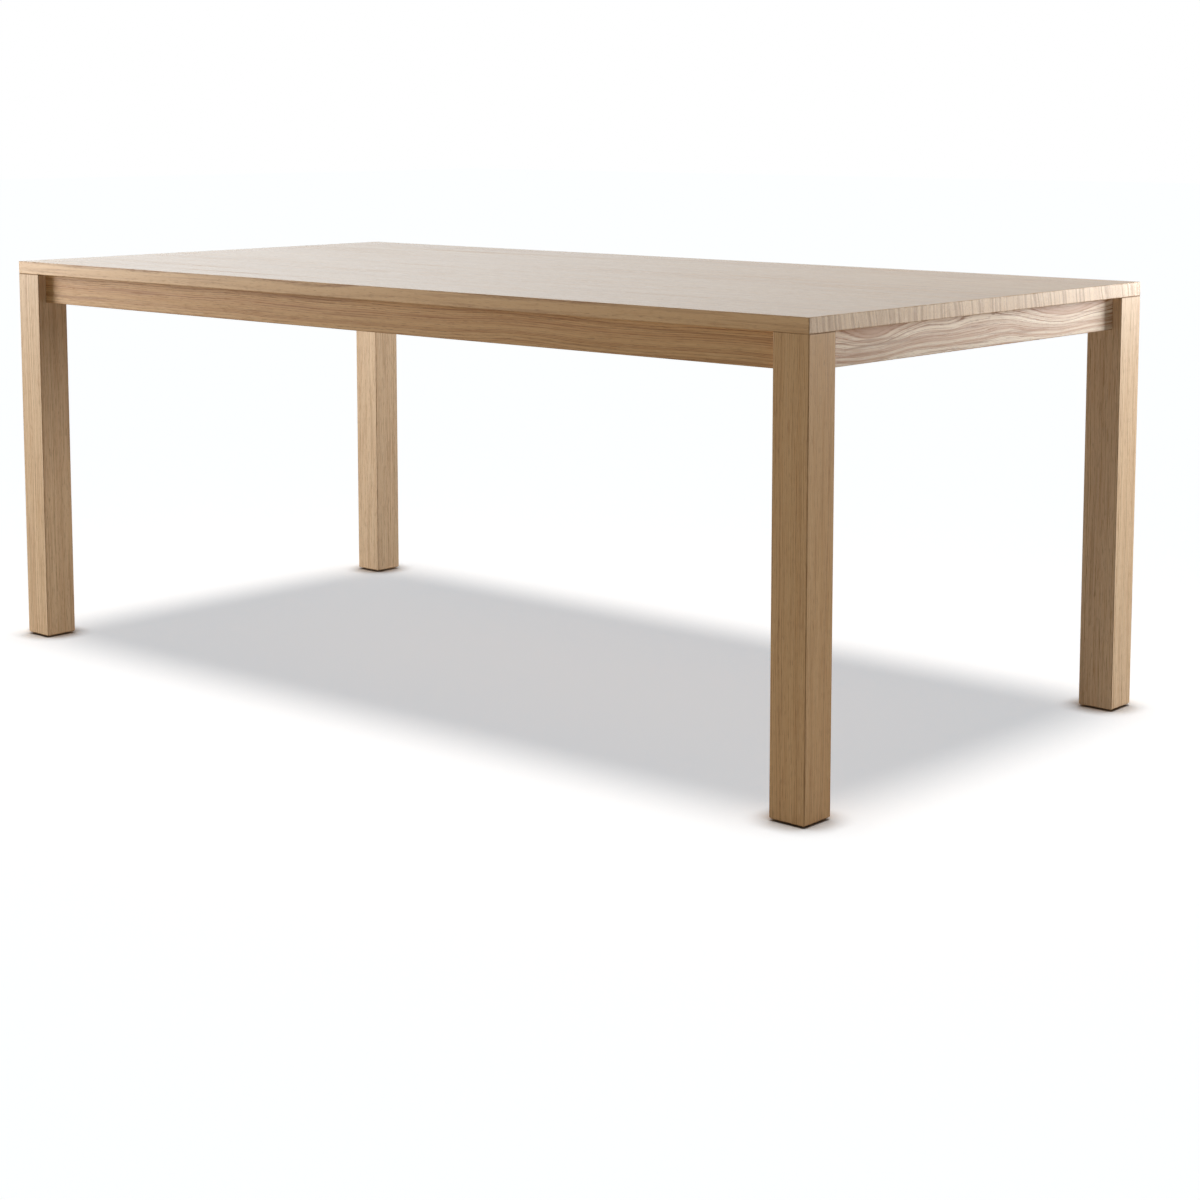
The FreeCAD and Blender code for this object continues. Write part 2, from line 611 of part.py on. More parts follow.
def make_bracket(side):
    """Bent steel sheet: a web across the corner, a wing on each apron and a lip in each kerf."""
    body = new_node(f"corner_bracket_{side.corner}")
    face = "Places.apron_inner"
    back = "(Places.apron_inner + Sizes.bracket_thickness)"
    tip = "(Places.apron_inner - Sizes.lip_depth)"
    bend = "Places.wing_start"
    back_bend = "(Places.wing_start + Sizes.bracket_thickness * (sqrt(2) - 1))"
    lip = "Places.wing_end"
    back_lip = "(Places.wing_end + Sizes.bracket_thickness)"
    one_half = ((back_bend, back), (back_lip, back), (back_lip, tip), (lip, tip), (lip, face),
                (bend, face))
    other_half = [(y, x) for x, y in reversed(one_half)]
    outline = new_sketch(body, "outline", "XY_Plane")
    polygon(outline, (*one_half, *other_half))
    pad(body, outline, "Places.bracket_height")

    def upright_at(*corners):
        spots = [(value(x), value(y)) for x, y in corners]
        spots += [(y, x) for x, y in spots]
        upright = runs_along("z")

        def test(edge):
            point = edge_points(edge)[0]
            return upright(edge) and any(abs(point.x - x) + abs(point.y - y) < TOLERANCE
                                         for x, y in spots)

        return test

    fillet(body, "Sizes.bracket_bend", upright_at((back_bend, back)))
    fillet(body, "Sizes.bracket_bend + Sizes.bracket_thickness", upright_at((bend, face)))
    fillet(body, "Sizes.bracket_thickness", upright_at((back_lip, back)))

    middle = "Places.bracket_height / 2"
    bolts = diagonal_sketch(body, "bolts", "Places.web_place")
    circles(bolts, [("0", height) for height in above_and_below(middle, "Places.bolt_rise")],
            "Sizes.bolt_diameter + 2 * Sizes.bolt_play")
    through = "2 * (Sizes.bracket_thickness + Sizes.overrun)"
    pocket(body, bolts, through, both_ways=True)
    heights = above_and_below(middle, "Places.screw_rise")
    hole = "Sizes.bracket_screw_diameter + 2 * Sizes.bracket_screw_play"
    for name, role, sign in (("left_wing", "XZ_Plane", "-"), ("right_wing", "YZ_Plane", "")):
        wing = new_sketch(body, name, role, z=f"{sign}{face}")
        circles(wing, [("Places.wing_screw", height) for height in heights], hole)
        pocket(body, wing, through, both_ways=True)

    place(body, side, from_corner(side, "0"), "0", "Places.apron_bottom + Sizes.bracket_edge")


# The glides under the feet

def make_glide(side):
    """A plastic disc with a countersunk hole. Its axis is the middle of the leg."""
    body = new_node(f"glide_{side.corner}")
    rim = "Sizes.glide_diameter / 2"
    hole = "(Sizes.glide_screw_diameter / 2 + Sizes.fit_gap)"
    mouth = "(Sizes.glide_screw_diameter * Shares.flat_head_share / 2 + Sizes.fit_gap)"
    turned(body, "XZ_Plane", (
        (mouth, "0"), (rim, "0"), (rim, "Sizes.glide_height"), (hole, "Sizes.glide_height"),
        (hole, "Places.glide_head_top"), (mouth, "Sizes.glide_screw_recess")))
    outer = value(rim)
    fillet(body, "Sizes.glide_arris", lambda edge: in_plane("z", "0")(edge)
           and edge.Curve.TypeId == "Part::GeomCircle"
           and abs(edge.Curve.Radius - outer) < TOLERANCE)
    place(body, side, from_corner(side, "Sizes.leg_width / 2"), "Sizes.leg_width / 2", "0")


# The fastenings. Each is drawn once and copied to its places. Those that lie level run
# along Y and those that stand run along Z, with the face under the head at zero.

def pan_head_screw(label, role, diameter, length):
    """A round shank with a point, and a pan head above zero."""
    body = new_body(label)
    shank = f"{diameter} / 2"
    head = f"{diameter} * Shares.pan_head_share / 2"
    rise = f"{diameter} * Shares.pan_height_share"
    turned(body, role, (
        ("0", f"-({length})"), (shank, f"{diameter} * Shares.point_share - ({length})"),
        (shank, "0"), (head, "0"), (head, f"{rise} / 2"), (f"{head} - {rise} / 2", rise),
        ("0", rise)))
    return body


def make_bracket_screws():
    master = pan_head_screw("bracket_screw", "XY_Plane", "Sizes.bracket_screw_diameter",
                            "Places.bracket_screw_bite + Sizes.bracket_thickness")
    heights = above_and_below("Places.apron_middle", "Places.screw_rise")
    group_node("bracket_screws", master, [
        (side, f"{end} * ({side.half} - Places.wing_screw)",
         "Places.apron_inner + Sizes.bracket_thickness", height, 0)
        for side in SIDES for end in ENDS for height in heights])


def make_clips():
    """Strips bent twice: a tongue in the apron's slot and a foot under the top."""
    master = new_body("top_clip")
    profile = new_sketch(master, "profile", "YZ_Plane")
    drop = "-Sizes.clip_drop"
    under = "-Sizes.clip_drop - Sizes.clip_thickness"
    near = "Sizes.clip_stand_off"
    far = "Sizes.clip_stand_off + Sizes.clip_thickness"
    end = "Sizes.clip_stand_off + Sizes.clip_foot"
    polygon(profile, (
        ("-Sizes.clip_tongue", under), (far, under), (far, "-Sizes.clip_thickness"),
        (end, "-Sizes.clip_thickness"), (end, "0"), (near, "0"), (near, drop),
        ("-Sizes.clip_tongue", drop)))
    pad(master, profile, "Sizes.clip_width", both_ways=True)

    def crossing_at(*corners):
        lengthwise = runs_along("x")
        tests = [(in_plane("y", y), in_plane("z", z)) for y, z in corners]
        return lambda edge: lengthwise(edge) and any(one(edge) and other(edge)
                                                     for one, other in tests)

    fillet(master, "Sizes.clip_bend",
           crossing_at((far, "-Sizes.clip_thickness"), (near, drop)))
    fillet(master, "Sizes.clip_bend + Sizes.clip_thickness",
           crossing_at((far, under), (near, "0")))
    hole = new_sketch(master, "hole", "XY_Plane")
    circles(hole, [("0", "Places.clip_screw_place")],
            "Sizes.clip_screw_diameter + 2 * Sizes.clip_screw_play")
    pocket(master, hole, "2 * (Sizes.clip_thickness + Sizes.overrun)", both_ways=True)

    places = [(side, f"{end} * ({right})", "Places.apron_inner", "Places.top_under", 0)
              for side in SIDES for right in clip_places(side) for end in ENDS]
    group_node("top_clips", master, places)

    screw = pan_head_screw("clip_screw", "XZ_Plane", "Sizes.clip_screw_diameter",
                           "Places.top_bite + Sizes.clip_thickness")
    standing_screws("clip_screws", screw, [
        (side, right, f"{inward} + Places.clip_screw_place", f"{up} - Sizes.clip_thickness")
        for side, right, inward, up, turn in places])


def standing_screws(label, master, places):
    """Screws that are driven upwards, so their heads are below."""
    group_node(label, upside_down(master), [(*spot, 0) for spot in places])


def upside_down(master):
    """A copy of a standing piece with its head below."""
    flipped = doc.addObject("Part::Mirroring", f"{master.Label}_upwards")
    flipped.Source = master
    flipped.Normal = Vector(0, 0, 1)
    return flipped


def make_rail_screws():
    master = pan_head_screw("rail_screw", "XZ_Plane", "Sizes.rail_screw_diameter",
                            "Places.top_bite + Sizes.rail_screw_ledge")
    front = SIDES[0]
    standing_screws("rail_screws", master, [
        (front, "0", f"Places.half_width + {row}", "Places.top_under - Sizes.rail_screw_ledge")
        for row in rail_screw_rows()])


def make_glide_screws():
    master = new_body("glide_screw")
    shank = "Sizes.glide_screw_diameter / 2"
    head = "Sizes.glide_screw_diameter * Shares.flat_head_share / 2"
    turned(master, "XZ_Plane", (
        ("0", "Sizes.glide_screw_recess"), (head, "Sizes.glide_screw_recess"),
        (shank, "Places.glide_head_top"),
        (shank, "Places.glide_screw_tip - Sizes.glide_screw_diameter * Shares.point_share"),
        ("0", "Places.glide_screw_tip")))
    group_node("glide_screws", master, [
        (side, from_corner(side, "Sizes.leg_width / 2"), "Sizes.leg_width / 2", "0", 0)
        for side in SIDES])


def make_dowels():
    master = new_body("leg_dowel")
    radius = "Sizes.dowel_diameter / 2"
    narrow = f"{radius} - Sizes.dowel_bevel"
    end = "Sizes.dowel_length / 2"
    turned(master, "XY_Plane", (
        ("0", f"-{end}"), (narrow, f"-{end}"), (radius, f"Sizes.dowel_bevel - {end}"),
        (radius, f"{end} - Sizes.dowel_bevel"), (narrow, end), ("0", end)))
    heights = above_and_below("Places.apron_middle", "Places.dowel_rise")
    group_node("leg_dowels", master, [
        (side, f"{end} * ({side.half} - Sizes.leg_width)", "Places.apron_line", height, 90)
        for side in SIDES for end in ENDS for height in heights])


def corner_group(label, master, reach):
    """Two copies in each corner, that far in along each side, pointing into the table."""
    heights = above_and_below("Places.apron_middle", "Places.bolt_rise")
    group_node(label, master, [
        (side, from_corner(side, reach), reach, height, -45)
        for side in SIDES for height in heights])


def make_bolts():
    """Hanger bolts: a point in the leg, a thread for the nut outside it."""
    master = new_body("hanger_bolt")
    radius = "Sizes.bolt_diameter / 2"
    turned(master, "XY_Plane", (
        ("0", "-Sizes.bolt_wood_length"),
        (radius, "Sizes.bolt_point - Sizes.bolt_wood_length"),
        (radius, "Sizes.bolt_free_length - Sizes.bolt_bevel"),
        (f"{radius} - Sizes.bolt_bevel", "Sizes.bolt_free_length"),
        ("0", "Sizes.bolt_free_length")))
    corner_group("hanger_bolts", master, "Places.seat_place")


def make_washers():
    master = new_body("bolt_washer")
    bore = "Places.bolt_hole / 2"
    rim = "Sizes.washer_diameter / 2"
    turned(master, "XY_Plane", (
        (bore, "0"), (rim, "0"), (rim, "Sizes.washer_thickness"),
        (bore, "Sizes.washer_thickness")))
    corner_group("bolt_washers", master,
                 "(Places.web_place + Sizes.bracket_thickness / sqrt(2))")


def make_nuts():
    """Hexagon nuts with their corners turned off at both ends."""
    master = new_body("bolt_nut")
    flat = "Sizes.nut_width / 2"
    half_side = "Sizes.nut_width / (2 * sqrt(3))"
    corner = "Sizes.nut_width / sqrt(3)"
    outline = new_sketch(master, "outline", "XZ_Plane")
    polygon(outline, (
        (flat, half_side), ("0", corner), (f"-{flat}", half_side),
        (f"-{flat}", f"-{half_side}"), ("0", f"-{corner}"), (flat, f"-{half_side}")))
    pad(master, outline, "Sizes.nut_height", backwards=True)
    for name, face, inside in (("near_bevel", "0", "Sizes.nut_bevel"),
                               ("far_bevel", "Sizes.nut_height",
                                "Sizes.nut_height - Sizes.nut_bevel")):
        bevel = new_sketch(master, name, "XY_Plane")
        polygon(bevel, ((flat, face), (corner, face), (corner, inside)))
        groove = master.newObject("PartDesign::Groove", f"{name}_groove")
        groove.Profile = bevel
        groove.ReferenceAxis = (bevel, ["V_Axis"])
        settle(master, groove, REMOVES)
    bore = new_sketch(master, "bore", "XZ_Plane")
    circles(bore, [("0", "0")], "Places.bolt_hole")
    pocket(master, bore, "2 * (Sizes.nut_height + Sizes.overrun)", both_ways=True)
    corner_group("bolt_nuts", master, "(Places.web_place + (Sizes.bracket_thickness"
                 " + Sizes.washer_thickness) / sqrt(2))")


def write_out():
    """Checks every object and every node, then writes one file for each node."""
    doc.recompute()
    for item in doc.Objects:
        if "Invalid" in item.State or "Error" in item.State:
            raise RuntimeError(f"{item.Label} failed: {item.State}")
    for node in nodes:
        if node.Shape.isNull() or not node.Shape.isValid():
            raise RuntimeError(f"{node.Label} has no valid shape")
    os.makedirs("parts", exist_ok=True)
    for node in nodes:
        node.Shape.exportStep(f"parts/{node.Label}.step")
        print(f"{node.Label}: {len(node.Shape.Solids)} solids, {node.Shape.Volume:.0f} mm3")


for stave_number in range(STAVE_COUNT):
    make_stave(stave_number)
for table_side in SIDES:
    make_leg(table_side)
    make_apron(table_side)
    make_bracket(table_side)
    make_glide(table_side)
make_cross_rail()
make_dowels()
make_bolts()
make_washers()
make_nuts()
make_bracket_screws()
make_clips()
make_rail_screws()
make_glide_screws()
write_out()
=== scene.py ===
import math

import bmesh
import bpy
import numpy as np
from mathutils import Euler, Matrix, Quaternion, Vector


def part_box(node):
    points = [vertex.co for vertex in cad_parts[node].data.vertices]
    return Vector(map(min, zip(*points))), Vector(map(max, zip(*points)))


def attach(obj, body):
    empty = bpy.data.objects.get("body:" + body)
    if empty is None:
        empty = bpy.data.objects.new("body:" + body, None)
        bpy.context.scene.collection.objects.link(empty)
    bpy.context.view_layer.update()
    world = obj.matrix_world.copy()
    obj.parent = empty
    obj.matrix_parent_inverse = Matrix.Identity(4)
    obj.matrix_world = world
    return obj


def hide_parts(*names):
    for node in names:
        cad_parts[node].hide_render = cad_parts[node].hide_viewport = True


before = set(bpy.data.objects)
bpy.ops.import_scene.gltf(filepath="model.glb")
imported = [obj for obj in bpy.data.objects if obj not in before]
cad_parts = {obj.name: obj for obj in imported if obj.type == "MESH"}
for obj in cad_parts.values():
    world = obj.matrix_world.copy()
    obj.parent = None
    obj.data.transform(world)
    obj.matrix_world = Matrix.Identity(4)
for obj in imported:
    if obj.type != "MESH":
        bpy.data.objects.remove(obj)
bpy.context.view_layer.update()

# Lengths and places are in metres, with X along the table, Y across it and Z up

WHITE = (1.0, 1.0, 1.0, 1.0)


def rgb(red, green, blue):
    """A colour of the screen's scale, 0 to 255, as the linear colour that a shader takes."""
    def linear(level):
        share = level / 255
        return share / 12.92 if share <= 0.04045 else ((share + 0.055) / 1.055) ** 2.4
    return (linear(red), linear(green), linear(blue), 1.0)


class Graph:
    """Adds shader nodes to a tree and links or sets what goes into them."""

    def __init__(self, tree):
        self.tree = tree

    def add(self, kind, inputs=(), **settings):
        node = self.tree.nodes.new("ShaderNode" + kind)
        for name, value in settings.items():
            setattr(node, name, value)
        for socket, value in dict(inputs).items():
            self.put(node.inputs[socket], value)
        return node

    def put(self, socket, value):
        """Links a socket to another one, or sets a plain value on it."""
        if isinstance(value, bpy.types.NodeSocket):
            self.tree.links.new(value, socket)
        else:
            socket.default_value = value

    def math(self, operation, *values, clamp=False):
        return self.add("Math", enumerate(values), operation=operation, use_clamp=clamp).outputs[0]

    def joined(self, operation, values, clamp):
        """Several values joined pair by pair. clamp keeps the last result between 0 and 1."""
        *most, last = values
        result = most[0]
        for value in most[1:]:
            result = self.math(operation, result, value)
        return self.math(operation, result, last, clamp=clamp)

    def total(self, *values, clamp=False):
        return self.joined("ADD", values, clamp)

    def product(self, *values, clamp=False):
        return self.joined("MULTIPLY", values, clamp)

    def vector(self, operation, *values):
        return self.add("VectorMath", enumerate(values), operation=operation).outputs[0]

    def combine(self, *parts):
        return self.add("CombineXYZ", enumerate(parts)).outputs[0]

    def separate(self, vector):
        return self.add("SeparateXYZ", {0: vector}).outputs[0:3]

    def noise_node(self, place, waves, detail, roughness):
        """A noise texture. waves says how many of its waves fit in a metre along each axis."""
        if waves:
            place = self.vector("MULTIPLY", place, waves)
        inputs = {"Vector": place, "Scale": 1.0, "Detail": detail, "Roughness": roughness}
        return self.add("TexNoise", inputs)

    def noise(self, place, waves=None, detail=2.0, roughness=0.5):
        return self.noise_node(place, waves, detail, roughness).outputs[0]

    def drift(self, place, waves, reach, detail=2.0, roughness=0.5):
        """A push along all three axes that varies from place to place, by up to half of reach each way."""
        push = self.noise_node(place, waves, detail, roughness).outputs[1]
        push = self.vector("SUBTRACT", push, (0.5, 0.5, 0.5))
        return self.add("VectorMath", {0: push, "Scale": reach}, operation="SCALE").outputs[0]

    def step(self, value, low, high, to_low=0.0, to_high=1.0):
        """A smooth step from to_low, at low, to to_high, at high."""
        inputs = {"Value": value, "From Min": low, "From Max": high, "To Min": to_low, "To Max": to_high}
        return self.add("MapRange", inputs, interpolation_type="SMOOTHSTEP").outputs[0]

    def mix(self, share, first, second):
        return self.add("Mix", {0: share, 6: first, 7: second}, data_type="RGBA").outputs[2]

    def bump(self, height, strength, distance):
        return self.add("Bump", {"Height": height, "Strength": strength, "Distance": distance}).outputs[0]


def new_material(name):
    material = bpy.data.materials.new(name)
    material.use_nodes = True
    material.node_tree.nodes.clear()
    graph = Graph(material.node_tree)
    shader = graph.add("BsdfPrincipled")
    graph.add("OutputMaterial", {"Surface": shader.outputs[0]})
    return material, graph, shader


def dress(node, material):
    """Puts a material on every slot of a CAD node."""
    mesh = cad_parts[node].data
    for index in range(len(mesh.materials)):
        mesh.materials[index] = material


# Oak's colours: the ground from pale to honey, its cream, the rings' bands and lines, and the rest
PALE_OAK = rgb(224, 186, 136)
HONEY_OAK = rgb(202, 158, 103)
CREAM_OAK = rgb(246, 231, 206)
BAND_OAK = rgb(166, 110, 58)
LINE_OAK = rgb(142, 96, 52)
END_OAK = rgb(146, 106, 64)
PORE_OAK = rgb(112, 75, 42)
RAY_OAK = rgb(229, 198, 153)
# Arrises are darker: rubbed wear, and painted shade where an arris catches more light than its faces
WORN_AND_SHADED_OAK = rgb(140, 103, 66)

# How many waves of each noise fit in a metre, along the fibres and in the two directions across them
BEND_WAVES = (2.8, 5.0, 5.0)
RIPPLE_WAVES = (7.0, 48.0, 48.0)
BROAD_WAVES = (0.8, 9.0, 9.0)
STREAK_WAVES = (1.6, 62.0, 62.0)
LINE_WAVES = (4.5, 230.0, 230.0)
FIBRE_WAVES = (7.0, 260.0, 260.0)
BREAK_WAVES = (8.0, 300.0, 300.0)
CLUSTER_WAVES = (20.0, 420.0, 420.0)
PORE_WAVES = (55.0, 1500.0, 1500.0)
ARRIS_WAVES = (30.0, 90.0, 90.0)

# The trunk's bends, the size of its ripples beside them, and how uneven its years are
BEND_ROUGHNESS = 0.4
RIPPLE_SHARE = 0.085
UNEVEN_WAVES = 0.31
UNEVEN_YEARS = 2.6
WEAKEST_YEAR = 0.25

# A spell is a run of bold years, told by a noise of its own
SPELL_WAVES = 0.34
SPELL_LAYER = 3.0
SPELL_ROUGHNESS = 0.6

# Where in a year the early wood begins and ends, and where the late wood begins and is densest
EARLY_START = (0.0, 0.07)
EARLY_END = (0.50, 0.16)
LATE_SPAN = (0.35, 1.0)

# The noise levels between which each feature comes up
SPELL_SPAN = (0.40, 0.64)
LINE_SPAN = (0.52, 0.68)
FIBRE_SPAN = (0.30, 0.72)
BREAK_SPAN = (0.40, 0.60)
STROKE_SPAN = (0.56, 0.76)
PORE_SPAN = (0.62, 0.72)
RAY_SPAN = (0.60, 0.72)
DULL_SPAN = (0.50, 0.72)
STROKES_IN_EARLY = 0.16
PORES_IN_EARLY = 0.14

# Rays lie along the fibres, about the middle line and outward from it, and drift a little
RAY_WAVES = (38.0, 260.0, 62.0)
RAY_DRIFT = (3.0, 3.0, 3.0)

# How much of each feature's colour shows
STREAK_TONE = 0.9
BROAD_TONE = 0.6
TONE_LEVEL = -0.25
END_CREAM = 0.45
LATE_SHARE = 0.16
LEAST_EARLY = 0.45
STROKE_SHARE = 0.38
PORE_SHARE = 0.5
FIBRE_SHARE = 0.22
FIBRE_IN_CREAM = 0.3
RAY_SHARE = 0.30
LINE_SHARE = 0.5
SPELL_SHARE = 0.36
SPELL_ON_END = 0.65
WORN_AND_SHADE_SHARE = 0.5

# Rubbed arrises, darkened in colour partly as painted shade: how far from an arris it fades, how uneven that
# is, and the painted shadow line under the top, in metres
ARRIS_SPAN = (0.0036, 0.0012)
ARRIS_UNEVEN = 0.003
JOINT_SHADE_SPAN = (0.0019, 0.0007)

# What each feature adds to the roughness, to the height of the surface and to dullness
BASE_ROUGHNESS = 0.40
FIBRE_ROUGHNESS = 0.10
PORE_ROUGHNESS = 0.22
RAY_ROUGHNESS = -0.06
WORN_ROUGHNESS = 0.25
FIBRE_HEIGHT = 0.35
PORE_HEIGHT = -0.55
EARLY_HEIGHT = -0.20
STROKE_DULLNESS = 0.5
STREAK_DULLNESS = 0.5


def add_sockets(tree, way, kind, *names):
    """Sockets of one kind on a node group, on the side that way names, INPUT or OUTPUT."""
    for name in names:
        tree.interface.new_socket(name, in_out=way, socket_type="NodeSocket" + kind)


def place_in_trunk(g, given, shifted):
    """The distance from the trunk's middle line and the angle about it.

    The line bends slowly along its length, which turns straight ring lines into flames on a flat face.
    """
    bend = g.drift(shifted, BEND_WAVES, given["Wave"], roughness=BEND_ROUGHNESS)
    ripple = g.drift(shifted, RIPPLE_WAVES, g.product(given["Wave"], RIPPLE_SHARE), detail=3.0)
    offset = g.vector("SUBTRACT", given["Place"], given["Pith"])
    offset = g.vector("ADD", g.vector("ADD", offset, bend), ripple)
    across, through = g.separate(offset)[1:]
    radius = g.math("SQRT", g.total(g.math("POWER", across, 2.0), g.math("POWER", through, 2.0)))
    return radius, g.math("ARCTAN2", through, across)


def rings(g, given, radius):
    """Early wood with a sharp start, dense late wood, and spells of bold years. No two rings are alike."""
    seed = given["Seed"]
    years = g.math("DIVIDE", radius, given["Ring"])
    uneven = g.noise(g.combine(g.product(years, UNEVEN_WAVES), seed), detail=1.0)
    years = g.total(years, g.product(uneven, UNEVEN_YEARS))
    season = g.math("FRACT", years)
    year = g.total(g.math("FLOOR", years), seed)
    vigour = g.add("TexWhiteNoise", {"W": year}, noise_dimensions="1D").outputs[0]
    vigour = g.total(g.product(vigour, 1 - WEAKEST_YEAR), WEAKEST_YEAR)
    early = g.product(g.step(season, *EARLY_START), g.step(season, *EARLY_END), vigour)
    late = g.step(season, *LATE_SPAN)
    spell = g.combine(g.product(years, SPELL_WAVES), seed, SPELL_LAYER)
    spell = g.step(g.noise(spell, detail=3.0, roughness=SPELL_ROUGHNESS), *SPELL_SPAN)
    return early, late, spell


def ducts(g, shifted, early):
    """Pores are open ducts: fine ones, and short dark strokes where they cluster. Early wood has most."""
    pores = g.noise(shifted, PORE_WAVES, detail=1.0)
    pores = g.step(g.total(pores, g.product(early, PORES_IN_EARLY)), *PORE_SPAN)
    clusters = g.noise(shifted, CLUSTER_WAVES, roughness=0.6)
    strokes = g.step(g.total(clusters, g.product(early, STROKES_IN_EARLY)), *STROKE_SPAN)
    return pores, strokes


def ray_flecks(g, given, shifted, radius, angle):
    """Rays are thin sheets that run outward from the middle line, short along the grain."""
    along = g.separate(given["Place"])[0]
    sheets = g.vector("MULTIPLY", g.combine(along, angle, radius), RAY_WAVES)
    sheets = g.vector("ADD", sheets, g.vector("MULTIPLY", shifted, RAY_DRIFT))
    return g.step(g.noise(sheets, detail=1.0), *RAY_SPAN)


def near_arris(g, given, shifted):
    """Where an arris is near, for rubbed wear and painted shade. The second nearest of the piece's faces
    gives the distance to an edge.
    """
    place = given["Place"]
    from_low = g.vector("SUBTRACT", place, given["Low"])
    to_high = g.vector("SUBTRACT", given["High"], place)
    first, second, third = g.separate(g.vector("MINIMUM", from_low, to_high))
    nearer = g.math("MINIMUM", first, second)
    farther = g.math("MAXIMUM", first, second)
    edge = g.math("MAXIMUM", nearer, g.math("MINIMUM", farther, third))
    uneven = g.product(g.noise(shifted, ARRIS_WAVES, detail=3.0), ARRIS_UNEVEN)
    return g.step(g.total(edge, uneven), *ARRIS_SPAN)


def painted_joint_shade(g, given):
    """Painted shade: a fine dark shadow line painted on a post just below where its head meets the top."""
    below_head = g.separate(g.vector("SUBTRACT", given["High"], given["Place"]))[0]
    return g.product(g.step(below_head, *JOINT_SHADE_SPAN), given["Joint"])


def oak_group():
    """Wood in three dimensions: rings lie round a middle line, fibres and pores along it, rays outward.

    So each face shows what a saw would lay bare: stripes on a quartered face, flames on a flat one and ring
    ends on end grain. Place, Pith, Low and High have their first axis along the fibres.
    """
    tree = bpy.data.node_groups.new("oak_wood", "ShaderNodeTree")
    add_sockets(tree, "INPUT", "Vector", "Place", "Pith", "Low", "High")
    add_sockets(tree, "INPUT", "Float", "Seed", "Ring", "Wave", "Figure", "Tone", "Cream", "End", "Joint")
    add_sockets(tree, "OUTPUT", "Color", "Color")
    add_sockets(tree, "OUTPUT", "Float", "Roughness", "Height", "Dull")
    g = Graph(tree)
    given = tree.nodes.new("NodeGroupInput").outputs
    result = tree.nodes.new("NodeGroupOutput").inputs
    seed = given["Seed"]
    figure = given["Figure"]
    end = given["End"]
    flank = g.math("SUBTRACT", 1.0, end)

    shifted = g.vector("ADD", given["Place"], g.combine(seed, seed, seed))
    radius, angle = place_in_trunk(g, given, shifted)
    early, late, spell = rings(g, given, radius)
    pores, strokes = ducts(g, shifted, early)
    rays = ray_flecks(g, given, shifted, radius, angle)
    worn_and_shaded = near_arris(g, given, shifted)
    broad = g.noise(shifted, BROAD_WAVES)
    streaks = g.noise(shifted, STREAK_WAVES, detail=3.0, roughness=0.55)
    fibres = g.noise(shifted, FIBRE_WAVES, detail=4.0, roughness=0.62)
    lines = g.step(g.noise(shifted, LINE_WAVES, detail=3.0), *LINE_SPAN)
    unbroken = g.step(g.noise(shifted, BREAK_WAVES), *BREAK_SPAN, LEAST_EARLY, 1.0)
    fibre_tint = g.step(fibres, *FIBRE_SPAN, 0.0, FIBRE_SHARE)
    cream_veil = g.step(given["Cream"], 0.0, 1.0, 1.0, FIBRE_IN_CREAM)

    # Colour comes in layers, from the ground up, each a share and a colour
    streaky = g.product(streaks, STREAK_TONE)
    tone = g.total(streaky, g.product(broad, BROAD_TONE), given["Tone"], TONE_LEVEL, clamp=True)
    color = g.mix(tone, PALE_OAK, HONEY_OAK)
    layers = (
        (g.math("MAXIMUM", given["Cream"], g.product(end, END_CREAM)), CREAM_OAK),
        (g.product(late, figure, LATE_SHARE), BAND_OAK),
        (g.product(early, unbroken, figure, clamp=True), LINE_OAK),
        (g.product(strokes, STROKE_SHARE), BAND_OAK),
        (g.product(pores, PORE_SHARE), PORE_OAK),
        (g.product(fibre_tint, cream_veil), HONEY_OAK),
        (g.product(rays, RAY_SHARE), RAY_OAK),
        (g.product(lines, flank, figure, LINE_SHARE), LINE_OAK),
        (g.product(spell, flank, figure, figure, SPELL_SHARE, clamp=True), BAND_OAK),
        (g.product(spell, end, SPELL_ON_END), END_OAK),
        # rubbed arrises, darkened partly as painted shade
        (g.product(worn_and_shaded, WORN_AND_SHADE_SHARE), WORN_AND_SHADED_OAK),
        # painted shadow line where a leg's head meets the top
        (painted_joint_shade(g, given), PORE_OAK),
    )
    for share, shade in layers:
        color = g.mix(share, color, shade)
    g.put(result["Color"], color)

    roughness = g.total(
        BASE_ROUGHNESS, g.product(fibres, FIBRE_ROUGHNESS), g.product(pores, PORE_ROUGHNESS),
        g.product(rays, RAY_ROUGHNESS), g.product(worn_and_shaded, WORN_ROUGHNESS))
    height = g.total(
        g.product(fibres, FIBRE_HEIGHT), g.product(pores, PORE_HEIGHT), g.product(early, EARLY_HEIGHT))
    dull_streaks = g.step(streaks, *DULL_SPAN, 0.0, STREAK_DULLNESS)
    dull = g.total(g.product(strokes, STROKE_DULLNESS), dull_streaks, worn_and_shaded, clamp=True)
    g.put(result["Roughness"], roughness)
    g.put(result["Height"], height)
    g.put(result["Dull"], dull)
    return tree


# A finish is its specular level, the weight of its coat where it is whole, and the coat's roughness
LACQUER = (0.35, 1.0, 0.25)
OIL = (0.35, 0.30, 0.42)
SATIN_OIL = (0.30, 0.20, 0.43)
THIN_OIL = (0.22, 0.10, 0.45)
FINISH_IOR = 1.45
WORN_COAT = 0.12
GRAIN_BUMP = {"strength": 0.35, "distance": 0.0004}

# The three axes from a grain direction on, and how square to it a face is that counts as end grain
AXES = {"x": (0, 1, 2), "y": (1, 0, 2), "z": (2, 0, 1)}
END_FACING = (0.6, 0.9)

OAK = oak_group()


